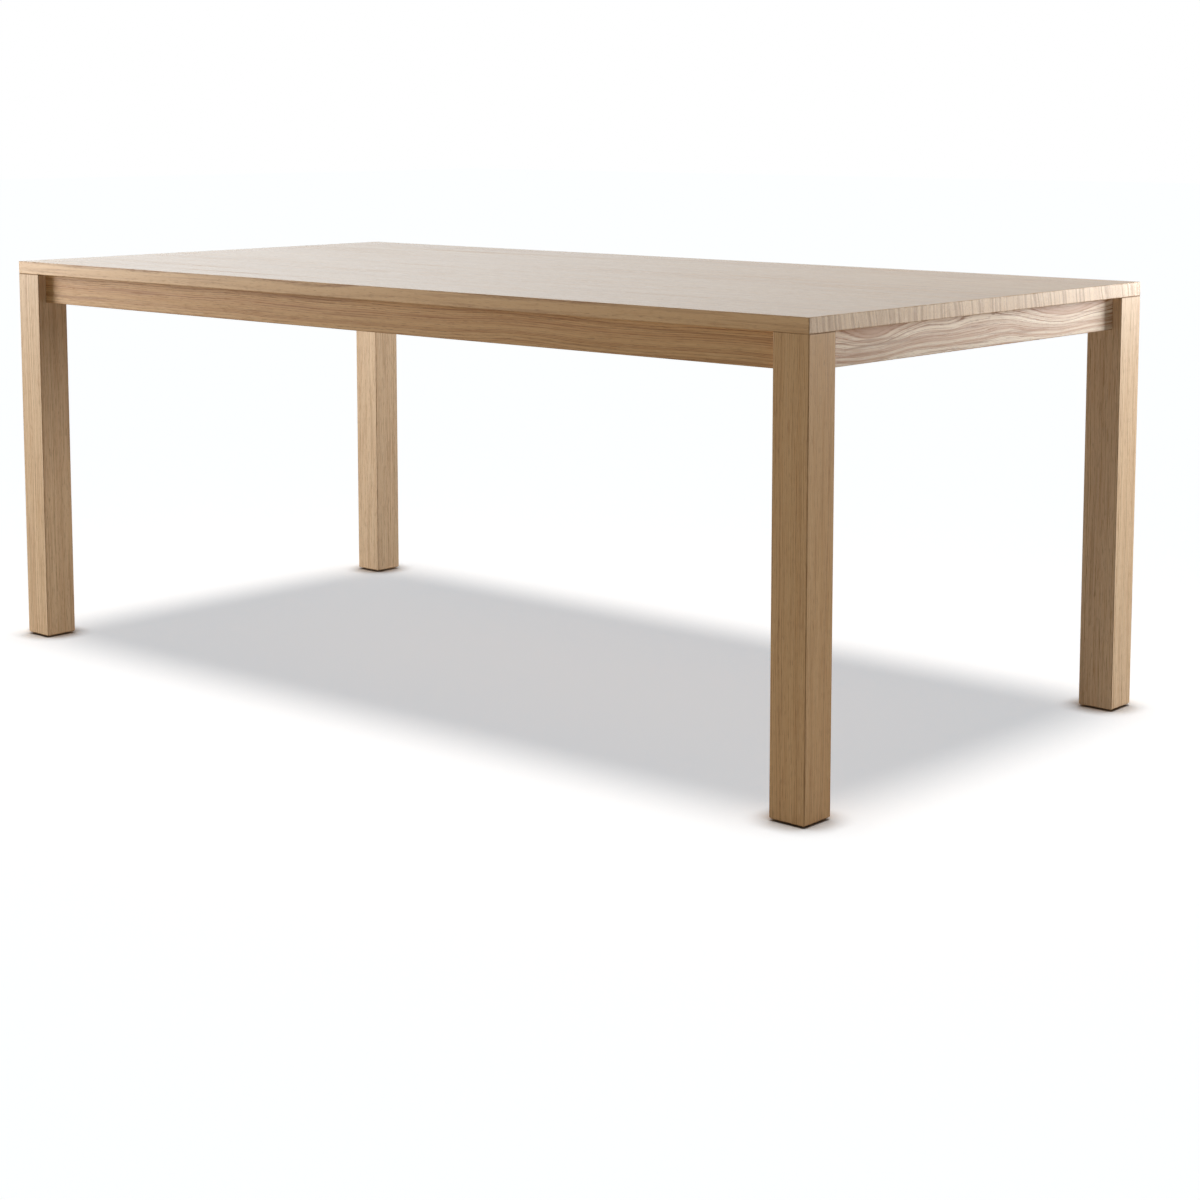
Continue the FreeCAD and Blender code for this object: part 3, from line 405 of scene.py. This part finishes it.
def oak(node, grain, pith, finish, joint_shade=(0.0, 0.0), panel=(), **traits):
    """Oak for one piece.

    grain is the axis that the fibres follow, and pith is where the trunk's middle line lies in the two other
    axes, from the piece's middle. joint_shade is how dark the painted shadow line under the top is, on faces
    towards X and Y.
    panel names the boards that the piece is glued to, whose outer edges alone are rubbed and darkened partly
    as painted shade. Lacquer is thick on upper faces only. traits go to the wood's sockets of the same
    names: ring is the width of a year, wave how far the trunk bends, figure how bold its lines are, tone how
    dark the ground is and cream how much of it is cream.
    """
    material, g, shader = new_material("oak_" + node)
    order = AXES[grain]
    own_low, own_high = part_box(node)
    middle = (own_low + own_high) / 2
    boxes = [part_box(name) for name in (node, *panel)]

    wood = g.add("Group", node_tree=OAK)
    parts = g.separate(g.add("TexCoord").outputs["Object"])
    facing = g.separate(g.vector("ABSOLUTE", g.add("NewGeometry").outputs["Normal"]))
    inputs = {
        "Place": g.combine(*(parts[axis] for axis in order)),
        "Pith": (0.0, middle[order[1]] + pith[0], middle[order[2]] + pith[1]),
        "Low": [min(low[axis] for low, high in boxes) for axis in order],
        "High": [max(high[axis] for low, high in boxes) for axis in order],
        "End": g.step(facing[order[0]], *END_FACING),
        "Joint": g.total(g.product(facing[0], joint_shade[0]), g.product(facing[1], joint_shade[1])),
    }
    for name, value in inputs.items():
        g.put(wood.inputs[name], value)
    for name, value in traits.items():
        g.put(wood.inputs[name.capitalize()], value)

    specular, coat, coat_roughness = finish
    polished = g.math("SUBTRACT", facing[2] if finish is LACQUER else 1.0, wood.outputs["Dull"])
    g.put(shader.inputs["Base Color"], wood.outputs["Color"])
    g.put(shader.inputs["Roughness"], wood.outputs["Roughness"])
    g.put(shader.inputs["Normal"], g.bump(wood.outputs["Height"], **GRAIN_BUMP))
    g.put(shader.inputs["Coat Weight"], g.step(polished, 0.0, 1.0, WORN_COAT * coat, coat))
    shader.inputs["Coat Roughness"].default_value = coat_roughness
    shader.inputs["Specular IOR Level"].default_value = specular
    shader.inputs["IOR"].default_value = FINISH_IOR
    dress(node, material)


# The wood of each kind of piece
STAVE_WOOD = {"grain": "x", "finish": LACQUER, "ring": 0.0026, "figure": 0.65}
LEG_WOOD = {"grain": "z", "finish": THIN_OIL, "ring": 0.0024, "wave": 0.014, "figure": 0.55}
LONG_APRON_WOOD = {
    "grain": "x", "finish": THIN_OIL, "ring": 0.0026, "wave": 0.016, "figure": 0.95, "tone": 0.25}
END_APRON_WOOD = {
    "grain": "y", "finish": SATIN_OIL, "ring": 0.0016, "wave": 0.046, "figure": 1.4, "tone": -0.3,
    "cream": 1.0}
RAIL_WOOD = {"grain": "y", "finish": OIL, "ring": 0.0028, "wave": 0.03, "figure": 0.6}

# A seed puts a piece in its own stretch of the trunk: the first of its kind, and the step to the next
STAVE_SEEDS = (1.3, 3.7)
LEG_SEEDS = (41.7, 5.9)
APRON_SEEDS = (83.1, 7.3)
RAIL_SEED = 131.9

# The boards' middle lines lie in turn to either side, in rounds of three, and the front board is straightest
STAVES = [f"top_stave_{number}" for number in range(1, 9)]
STAVE_ROUND = 3
STAVE_PITH = (0.16, 0.03)
STAVE_PITH_STEP = (0.02, -0.01)
STAVE_WAVE = 0.012
FRONT_STAVE_WAVE = 0.005
STAVE_TONE = -0.14
STAVE_TONE_STEP = 0.05

# Each leg's middle line lies out beyond a corner of its own, and a quarter turn leads to the next leg's
# Each leg's tone and cream are painted light, set to how the lamps fall on it: the near front right leg is
# darker as painted shade, and the back legs are creamier as painted sheen
LEG_PAINTED_LIGHT = {
    "front_left": {"tone": -0.05, "cream": 0.35},
    "front_right": {"tone": 0.2, "cream": 0.05},
    "back_right": {"tone": -0.05, "cream": 0.42},
    "back_left": {"tone": -0.05, "cream": 0.5},
}
LEG_PITH = 0.16
# Painted shadow line under the top, on faces towards X and Y: weak on the near leg's front face, where the
# lamps cast little of it
LEG_JOINT_SHADE = (0.75, 0.75)
NEAR_LEG_JOINT_SHADE = (0.75, 0.10)

# Aprons and rail: how far the middle line lies to the side and up
LONG_APRON_PITH = (0.09, 0.11)
END_APRON_PITH = (0.045, 0.034)
RAIL_PITH = (0.06, 0.08)


def seed_of(seeds, index):
    first, step = seeds
    return first + step * index


def dress_oak():
    for index, stave in enumerate(STAVES):
        side = -1 if index % 2 else 1
        turn = index % STAVE_ROUND
        across = side * (STAVE_PITH[0] + STAVE_PITH_STEP[0] * turn)
        up = side * STAVE_PITH[1] + STAVE_PITH_STEP[1] * turn
        oak(
            stave, pith=(across, up), seed=seed_of(STAVE_SEEDS, index), panel=STAVES,
            wave=STAVE_WAVE if index else FRONT_STAVE_WAVE,
            tone=STAVE_TONE + STAVE_TONE_STEP * (2 * index % STAVE_ROUND), **STAVE_WOOD)

    for index, (corner, leg_painted_light) in enumerate(LEG_PAINTED_LIGHT.items()):
        turn = math.radians(45 + 90 * index)
        oak(
            "leg_" + corner, pith=(LEG_PITH * math.cos(turn), LEG_PITH * math.sin(turn)),
            seed=seed_of(LEG_SEEDS, index), joint_shade=NEAR_LEG_JOINT_SHADE if corner == "front_right" else LEG_JOINT_SHADE,
            **leg_painted_light, **LEG_WOOD)

    for index, side in enumerate(("front", "right", "back", "left")):
        inward = -1 if side in ("right", "back") else 1
        long = side in ("front", "back")
        across, up = LONG_APRON_PITH if long else END_APRON_PITH
        oak(
            "apron_" + side, pith=(inward * across, up), seed=seed_of(APRON_SEEDS, index),
            **(LONG_APRON_WOOD if long else END_APRON_WOOD))

    oak("cross_rail", pith=RAIL_PITH, seed=RAIL_SEED, **RAIL_WOOD)


# Beech, zinc-plated steel and dark plastic, each with a colour and a second one for its flecks or clouds
BEECH = (rgb(214, 178, 140), rgb(176, 132, 96))
BEECH_WAVES = (900, 900, 900)
BEECH_SPAN = (0.5, 0.7)
BEECH_ROUGHNESS = 0.6
SHEET_ZINC = (rgb(190, 192, 196), rgb(160, 163, 168))
FASTENER_ZINC = (rgb(206, 206, 204), rgb(172, 172, 170))
CLOUD_WAVES = (90, 90, 90)
CLOUD_SPAN = (0.35, 0.65)
ZINC_WAVES = (1400, 1400, 1400)
ZINC_ROUGHNESS = (0.24, 0.42)
ZINC_BUMP = {"strength": 0.15, "distance": 0.0002}
PLASTIC = (rgb(52, 44, 38), rgb(74, 64, 55))
PLASTIC_WAVES = (1100, 1100, 1100)
PLASTIC_ROUGHNESS = (0.42, 0.58)
PLASTIC_BUMP = {"strength": 0.2, "distance": 0.0002}
USUAL_NOISE = (0.3, 0.7)


def beech():
    material, g, shader = new_material("beech")
    place = g.add("TexCoord").outputs["Object"]
    flecks = g.step(g.noise(place, BEECH_WAVES), *BEECH_SPAN)
    g.put(shader.inputs["Base Color"], g.mix(flecks, *BEECH))
    shader.inputs["Roughness"].default_value = BEECH_ROUGHNESS
    return material


def zinc(name, colors):
    """Zinc plating, with clouds that are darker and rougher."""
    material, g, shader = new_material(name)
    place = g.add("TexCoord").outputs["Object"]
    cloud = g.noise(place, CLOUD_WAVES, detail=4.0, roughness=0.6)
    fine = g.noise(place, ZINC_WAVES, detail=3.0)
    g.put(shader.inputs["Base Color"], g.mix(g.step(cloud, *CLOUD_SPAN), *colors))
    g.put(shader.inputs["Roughness"], g.step(cloud, *USUAL_NOISE, *ZINC_ROUGHNESS))
    g.put(shader.inputs["Normal"], g.bump(fine, **ZINC_BUMP))
    shader.inputs["Metallic"].default_value = 1.0
    return material


def plastic():
    material, g, shader = new_material("glide_plastic")
    place = g.add("TexCoord").outputs["Object"]
    fine = g.noise(place, PLASTIC_WAVES, detail=3.0)
    g.put(shader.inputs["Base Color"], g.mix(fine, *PLASTIC))
    g.put(shader.inputs["Roughness"], g.step(fine, *USUAL_NOISE, *PLASTIC_ROUGHNESS))
    g.put(shader.inputs["Normal"], g.bump(fine, **PLASTIC_BUMP))
    return material


def dress_hardware(fastener_zinc):
    sheet_zinc = zinc("zinc_sheet", SHEET_ZINC)
    glide_plastic = plastic()
    dress("leg_dowels", beech())
    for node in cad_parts:
        if node.startswith("corner_bracket") or node == "top_clips":
            dress(node, sheet_zinc)
        elif node.startswith("glide_") and node != "glide_screws":
            dress(node, glide_plastic)
        elif node in ("bolt_washers", "bolt_nuts"):
            dress(node, fastener_zinc)


# Turned solids: how many corners a turn has, and the angle of the first
SEGMENTS = 20
FIRST_ANGLE = -math.pi / SEGMENTS

# A coarse thread: its outline in shares of pitch and depth, its sizes in diameters, and its tip in radii
WOOD_FORM = ((0.0, 0.0), (0.18, 1.0), (0.82, 1.0))
WOOD_PITCH = 0.45
WOOD_DEPTH = 0.13
POINT_LENGTH = 1.5
TIP_RADIUS = 0.05

# A hanger bolt from its free end: bevel, fine thread, plain middle as a share of the radius, wood thread
BOLT_FORM = ((0.0, 0.0), (0.12, 0.0), (0.50, 1.0), (0.62, 1.0))
BOLT_PITCH = 0.00125
BOLT_DEPTH = 0.00062
BOLT_BEVEL = 0.0008
BOLT_THREAD_END = 0.022
BOLT_WOOD_START = 0.029
BOLT_PLAIN = 0.98

# A driving socket, as shares of the head's radius and height
SOCKET_REACH = 0.58
SOCKET_HALF_WIDTH = 0.13
SOCKET_DEPTH = 0.60
SOCKET_MIDDLE = 1.45
SOCKET_SLOPE = 0.75

# The sides of heads, as shares of the head's height and radius, and where a cone meets its shank
ROUND_HEAD = ((0.02, 0.72), (0.12, 0.88), (0.32, 0.97), (0.60, 1.0), (1.0, 1.0))
FLAT_HEAD = ((0.0, 0.94), (0.10, 1.0), (0.18, 1.0))
FLAT_HEAD_NECK = 1.02
HEAD_OVER_SHANK = 1.05

# Corners of a new mesh and of a CAD mesh that lie closer than these are one
SEAM = 2e-6
SLIVER = 1e-6

# How far each copy of a fastener is turned on from the last, and which edges show
TURN_STEP = 2.4
SHARP_ANGLE = math.radians(32)


class Turned:
    """A turned solid along Z: rows of corners round the axis, joined by faces."""

    def __init__(self):
        self.corners = []
        self.faces = []

    def add(self, corners):
        first = len(self.corners)
        self.corners.extend(corners)
        return list(range(first, len(self.corners)))

    def row(self, height, radius):
        angles = [FIRST_ANGLE + 2 * math.pi * step / SEGMENTS for step in range(SEGMENTS)]
        return self.add([(radius * math.cos(angle), radius * math.sin(angle), height) for angle in angles])

    def join(self, first, second):
        for step in range(len(first)):
            following = (step + 1) % len(first)
            self.faces.append((first[step], first[following], second[following], second[step]))

    def rows(self, profile):
        """Rows through a profile of heights and radii. Gives the first row."""
        made = [self.row(height, radius) for height, radius in profile]
        for first, second in zip(made, made[1:]):
            self.join(first, second)
        return made[0]

    def cap(self, row, height):
        tip = self.add([(0.0, 0.0, height)])[0]
        for step in range(len(row)):
            self.faces.append((row[step], row[(step + 1) % len(row)], tip))

    def thread(self, start, end, pitch, depth, form, radius_at):
        """A helical thread from one height to another. radius_at gives the crest's radius at a height."""
        steps = math.ceil(((end - start) / pitch + 2) * SEGMENTS)
        lines = []
        for step in range(steps + 1):
            angle = FIRST_ANGLE + 2 * math.pi * step / SEGMENTS
            line = []
            for share, sunk in form:
                height = start + (step / SEGMENTS - 1 + share) * pitch
                inside = start < height < end
                height = min(max(height, start), end)
                radius = radius_at(height) * (1 - depth * (sunk if inside else 1.0))
                line.append((radius * math.cos(angle), radius * math.sin(angle), height))
            lines.append(self.add(line))
        last = len(form) - 1
        for step in range(steps):
            here = lines[step]
            beside = lines[step + 1]
            for ridge in range(last):
                self.faces.append((here[ridge], beside[ridge], beside[ridge + 1], here[ridge + 1]))
            if step + 1 + SEGMENTS <= steps:
                above = lines[step + SEGMENTS][0]
                above_beside = lines[step + 1 + SEGMENTS][0]
                self.faces.append((here[last], beside[last], above_beside, above))

    def wood_thread(self, start, length, radius):
        """A coarse thread with a tapered point, from a height to the solid's end."""
        diameter = 2 * radius
        point = POINT_LENGTH * diameter

        def radius_at(height):
            return radius * min(1.0, TIP_RADIUS + (1 - TIP_RADIUS) * (length - height) / point)

        self.thread(start, length, WOOD_PITCH * diameter, WOOD_DEPTH * 2, WOOD_FORM, radius_at)
        self.cap(self.row(length, radius_at(length) * (1 - WOOD_DEPTH * 2)), length)

    def socket(self, head_radius, head_height):
        """A cross-shaped recess in the head's upper face. Gives the row round it."""
        reach = SOCKET_REACH * head_radius
        half = SOCKET_HALF_WIDTH * head_radius
        middle = SOCKET_MIDDLE * half
        bottom = SOCKET_DEPTH * head_height

        def ring(radius, low, high):
            """A row with the arms of the cross at one height and the corners between them at another."""
            spread = math.asin(half / radius)
            arm = ((-spread, low), (spread, low))
            between = ((spread, high), (math.pi / 4, high), (math.pi / 2 - spread, high))
            corners = []
            for quarter in range(4):
                for turn, height in (*arm, *between):
                    angle = turn + quarter * math.pi / 2
                    corners.append((radius * math.cos(angle), radius * math.sin(angle), height))
            return self.add(corners)

        inner = ring(middle, bottom, bottom)
        raised = ring(middle, bottom, 0.0)
        outer = ring(reach, SOCKET_SLOPE * bottom, 0.0)
        rim = ring(reach, 0.0, 0.0)
        self.cap(inner, bottom)
        for first, second in ((inner, raised), (raised, outer), (outer, rim)):
            self.join(first, second)
        return rim

    def mesh(self, name):
        mesh = bpy.data.meshes.new(name)
        mesh.from_pydata(self.corners, [], self.faces)
        work = bmesh.new()
        work.from_mesh(mesh)
        bmesh.ops.remove_doubles(work, verts=work.verts, dist=SEAM)
        bmesh.ops.dissolve_degenerate(work, edges=work.edges, dist=SLIVER)
        bmesh.ops.recalc_face_normals(work, faces=work.faces)
        work.to_mesh(mesh)
        work.free()
        return mesh


def solids(node):
    """The separate solids of a CAD node, each as an array of its corners."""
    work = bmesh.new()
    work.from_mesh(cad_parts[node].data)
    bmesh.ops.remove_doubles(work, verts=work.verts, dist=SLIVER)
    seen = set()
    found = []
    for start in list(work.verts):
        if start in seen:
            continue
        seen.add(start)
        queue = [start]
        for corner in queue:
            for edge in corner.link_edges:
                other = edge.other_vert(corner)
                if other not in seen:
                    seen.add(other)
                    queue.append(other)
        found.append(np.array([tuple(corner.co) for corner in queue]))
    work.free()
    return found


def measured(corners):
    """A turned solid's thick end, its direction from there, and its corners' heights and radii."""
    middle = corners.mean(axis=0)
    axis = np.linalg.eigh(np.cov((corners - middle).T))[1][:, 2]
    heights = (corners - middle) @ axis
    radii = np.linalg.norm(corners - middle - np.outer(heights, axis), axis=1)
    centred = heights - (heights.min() + heights.max()) / 2
    if (radii * centred).sum() > 0:
        axis = -axis
        heights = -heights
    return middle + heights.min() * axis, axis, heights - heights.min(), radii


def copies(node, mesh, material):
    """One piece with a copy of the mesh at each of a CAD node's solids, each turned on from the last."""
    joined = bmesh.new()
    for number, corners in enumerate(solids(node)):
        start, axis = measured(corners)[:2]
        turn = Quaternion((0, 0, 1), TURN_STEP * number)
        aim = Vector((0, 0, 1)).rotation_difference(Vector(axis)) @ turn
        copy = mesh.copy()
        copy.transform(Matrix.Translation(Vector(start)) @ aim.to_matrix().to_4x4())
        joined.from_mesh(copy)
        bpy.data.meshes.remove(copy)
    whole = bpy.data.meshes.new(node + "_detailed")
    joined.to_mesh(whole)
    joined.free()
    whole.shade_smooth()
    whole.set_sharp_from_angle(angle=SHARP_ANGLE)
    whole.materials.append(material)
    piece = bpy.data.objects.new(node + "_detailed", whole)
    bpy.context.scene.collection.objects.link(piece)
    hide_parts(node)
    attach(piece, "root")
    return piece


def screw_mesh(node):
    """A screw with the length, head and shank of the first solid of a CAD node."""
    heights, radii = measured(solids(node)[0])[2:]
    length = heights.max()
    shank = radii[heights > length / 2].max()
    head = radii.max()
    head_height = heights[radii > HEAD_OVER_SHANK * shank].max()
    flat = node == "glide_screws"
    sides = [(height * head_height, radius * head) for height, radius in (FLAT_HEAD if flat else ROUND_HEAD)]
    if flat:
        sides.append((head_height, FLAT_HEAD_NECK * shank))
    sides.append((head_height, shank * (1 - WOOD_DEPTH * 2)))
    turned = Turned()
    rim = turned.socket(head, head_height)
    first_row = turned.rows(sides)
    turned.join(rim, first_row)
    turned.wood_thread(head_height, length, shank)
    return turned.mesh(node + "_one")


def hanger_bolt_mesh(node):
    """A hanger bolt: a fine thread with a bevelled end, a plain middle, and a coarse thread for the leg."""
    heights, radii = measured(solids(node)[0])[2:]
    radius = radii.max()
    root = radius - BOLT_DEPTH
    plain = BOLT_PLAIN * radius
    turned = Turned()
    first_row = turned.rows(((0.0, root - BOLT_BEVEL / 2), (BOLT_BEVEL, root)))
    turned.cap(first_row, 0.0)
    turned.thread(
        BOLT_BEVEL, BOLT_THREAD_END, BOLT_PITCH, BOLT_DEPTH / radius, BOLT_FORM, lambda height: radius)
    turned.rows((
        (BOLT_THREAD_END, root), (BOLT_THREAD_END, plain), (BOLT_WOOD_START, plain),
        (BOLT_WOOD_START, radius * (1 - WOOD_DEPTH * 2))))
    turned.wood_thread(BOLT_WOOD_START, heights.max(), radius)
    return turned.mesh(node + "_one")


def make_fasteners(fastener_zinc):
    """Threaded pieces in place of the CAD nodes' plain solids."""
    meshes = {"hanger_bolts": hanger_bolt_mesh("hanger_bolts")}
    for node in ("bracket_screws", "clip_screws", "rail_screws", "glide_screws"):
        meshes[node] = screw_mesh(node)
    return [copies(node, mesh, fastener_zinc) for node, mesh in meshes.items()]


# The world: white to the camera, a little cool daylight, and a backdrop that gloss mirrors
DAY_COLOR = (0.88, 0.95, 1.0, 1.0)
DAY_LEVEL = 0.03

# The backdrop brightens to the west and has a bright panel in the north. Edges are parts of a direction
BACKDROP_LOW = 0.65
BACKDROP_HIGH = 1.36
BACKDROP_WEST = (-0.45, -0.95)
PANEL_LEVEL = 1.02
PANEL_WEST_EDGE = (0.05, 0.35)
PANEL_EAST_EDGE = (0.62, 0.45)
PANEL_NORTH_EDGE = (0.70, 0.80)

# The floor, whose glow is what the camera and gloss see of it and fades where a foot stands close, as
# painted contact shade
FLOOR_HALF = 30.0
FLOOR_COLOR = (0.97, 0.92, 0.87, 1.0)
FLOOR_ROUGHNESS = 0.9
FLOOR_TINT = (0.925, 0.995, 1.06, 1.0)
FLOOR_GLOW = 0.536
CONTACT_SHADE_REACH = 0.045
CONTACT_SHADE_SPAN = (0.6, 1.0)

# Lamps: one to each side, with its power in watts, and a soft sun overhead
LEFT_LAMP = {"place": (-3.23, -1.56, 1.25), "target": (-0.3, -0.3, 0.6), "power": 99, "size": (0.9, 1.2)}
RIGHT_LAMP = {"place": (1.50, 1.78, 0.98), "target": (0.9, 0.2, 0.65), "power": 46, "size": (0.65, 0.5)}
OVERHEAD_HEIGHT = 4
OVERHEAD_STRENGTH = 1.5
OVERHEAD_ANGLE = math.radians(16)


def mirror_rays(g, path):
    """One for rays that come from a gloss or through a glass, and zero for others."""
    return g.math("MAXIMUM", path["Is Glossy Ray"], path["Is Transmission Ray"])


def make_world():
    world = bpy.data.worlds.new("studio")
    bpy.context.scene.world = world
    world.use_nodes = True
    world.node_tree.nodes.clear()
    g = Graph(world.node_tree)
    path = g.add("LightPath").outputs
    east, north = g.separate(g.add("TexCoord").outputs["Generated"])[:2]
    backdrop = g.step(east, *BACKDROP_WEST, BACKDROP_LOW, BACKDROP_HIGH)
    panel = g.product(g.step(east, *PANEL_WEST_EDGE), g.step(east, *PANEL_EAST_EDGE))
    panel = g.product(panel, g.step(north, *PANEL_NORTH_EDGE), PANEL_LEVEL)
    mirrored = g.product(g.total(backdrop, panel), mirror_rays(g, path))
    daylight = g.product(path["Is Diffuse Ray"], DAY_LEVEL)
    strength = g.total(mirrored, daylight, path["Is Camera Ray"])
    color = g.mix(path["Is Camera Ray"], DAY_COLOR, WHITE)
    background = g.add("Background", {"Color": color, "Strength": strength})
    g.add("OutputWorld", {"Surface": background.outputs[0]})


def make_floor():
    corners = [(FLOOR_HALF * x, FLOOR_HALF * y, 0) for x, y in ((-1, -1), (1, -1), (1, 1), (-1, 1))]
    mesh = bpy.data.meshes.new("floor")
    mesh.from_pydata(corners, [], [(0, 1, 2, 3)])
    piece = bpy.data.objects.new("floor", mesh)
    bpy.context.scene.collection.objects.link(piece)
    material, g, shader = new_material("floor")
    path = g.add("LightPath").outputs
    seen = g.math("MAXIMUM", path["Is Camera Ray"], mirror_rays(g, path))
    # Painted contact shade: the glow fades where ambient occlusion finds a foot close by
    openness = g.add("AmbientOcclusion", {"Distance": CONTACT_SHADE_REACH}, samples=5).outputs["AO"]
    glow = g.product(g.step(openness, *CONTACT_SHADE_SPAN), FLOOR_GLOW)
    g.put(shader.inputs["Emission Strength"], g.product(seen, glow))
    shader.inputs["Emission Color"].default_value = FLOOR_TINT
    shader.inputs["Base Color"].default_value = FLOOR_COLOR
    shader.inputs["Roughness"].default_value = FLOOR_ROUGHNESS
    shader.inputs["Specular IOR Level"].default_value = 0.0
    mesh.materials.append(material)


def aimed(name, data, place, target):
    """A lamp at a place, turned towards a target."""
    lamp = bpy.data.objects.new(name, data)
    lamp.location = place
    lamp.rotation_euler = (Vector(target) - Vector(place)).to_track_quat("-Z", "Y").to_euler()
    bpy.context.scene.collection.objects.link(lamp)
    return lamp


def side_lamp(name, place, target, power, size):
    data = bpy.data.lights.new(name, "AREA")
    data.energy = power
    data.shape = "RECTANGLE"
    data.size, data.size_y = size
    return aimed(name, data, place, target)


def overhead_lamp():
    data = bpy.data.lights.new("overhead", "SUN")
    data.energy = OVERHEAD_STRENGTH
    data.angle = OVERHEAD_ANGLE
    aimed("overhead", data, (0, 0, OVERHEAD_HEIGHT), (0, 0, 0))


def make_lamps(fasteners):
    """The side lamps light the table only, so that the floor keeps the shadow of the soft light overhead."""
    table_only = bpy.data.collections.new("table_only")
    for piece in (*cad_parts.values(), *fasteners):
        table_only.objects.link(piece)
    for lamp in (side_lamp("left_lamp", **LEFT_LAMP), side_lamp("right_lamp", **RIGHT_LAMP)):
        lamp.light_linking.receiver_collection = table_only
    overhead_lamp()


# The camera, at the photograph's viewing angle, with the photo's frame, focal length and axis in pixels
FRAME_SIDE = 1200
FOCAL_PIXELS = 2308.2
AXIS_ROW = 380
SENSOR_MILLIMETRES = 36
CAMERA_PLACE = (2.9254, -3.1226, 1.0341)
CAMERA_YAW = math.radians(41.70)
CAMERA_PITCH = math.radians(6.51)
FARTHEST_SEEN = 200


def make_camera():
    data = bpy.data.cameras.new("camera")
    data.sensor_width = SENSOR_MILLIMETRES
    data.lens = SENSOR_MILLIMETRES * FOCAL_PIXELS / FRAME_SIDE
    data.shift_y = (AXIS_ROW - FRAME_SIDE / 2) / FRAME_SIDE
    data.clip_end = FARTHEST_SEEN
    camera = bpy.data.objects.new("camera", data)
    camera.location = CAMERA_PLACE
    camera.rotation_euler = Euler((math.pi / 2 - CAMERA_PITCH, 0, CAMERA_YAW))
    bpy.context.scene.collection.objects.link(camera)
    bpy.context.scene.camera = camera


dress_oak()
fastener_zinc = zinc("zinc_fastener", FASTENER_ZINC)
dress_hardware(fastener_zinc)
fasteners = make_fasteners(fastener_zinc)
make_world()
make_floor()
make_lamps(fasteners)
make_camera()
bpy.context.scene.view_settings.view_transform = "Standard"
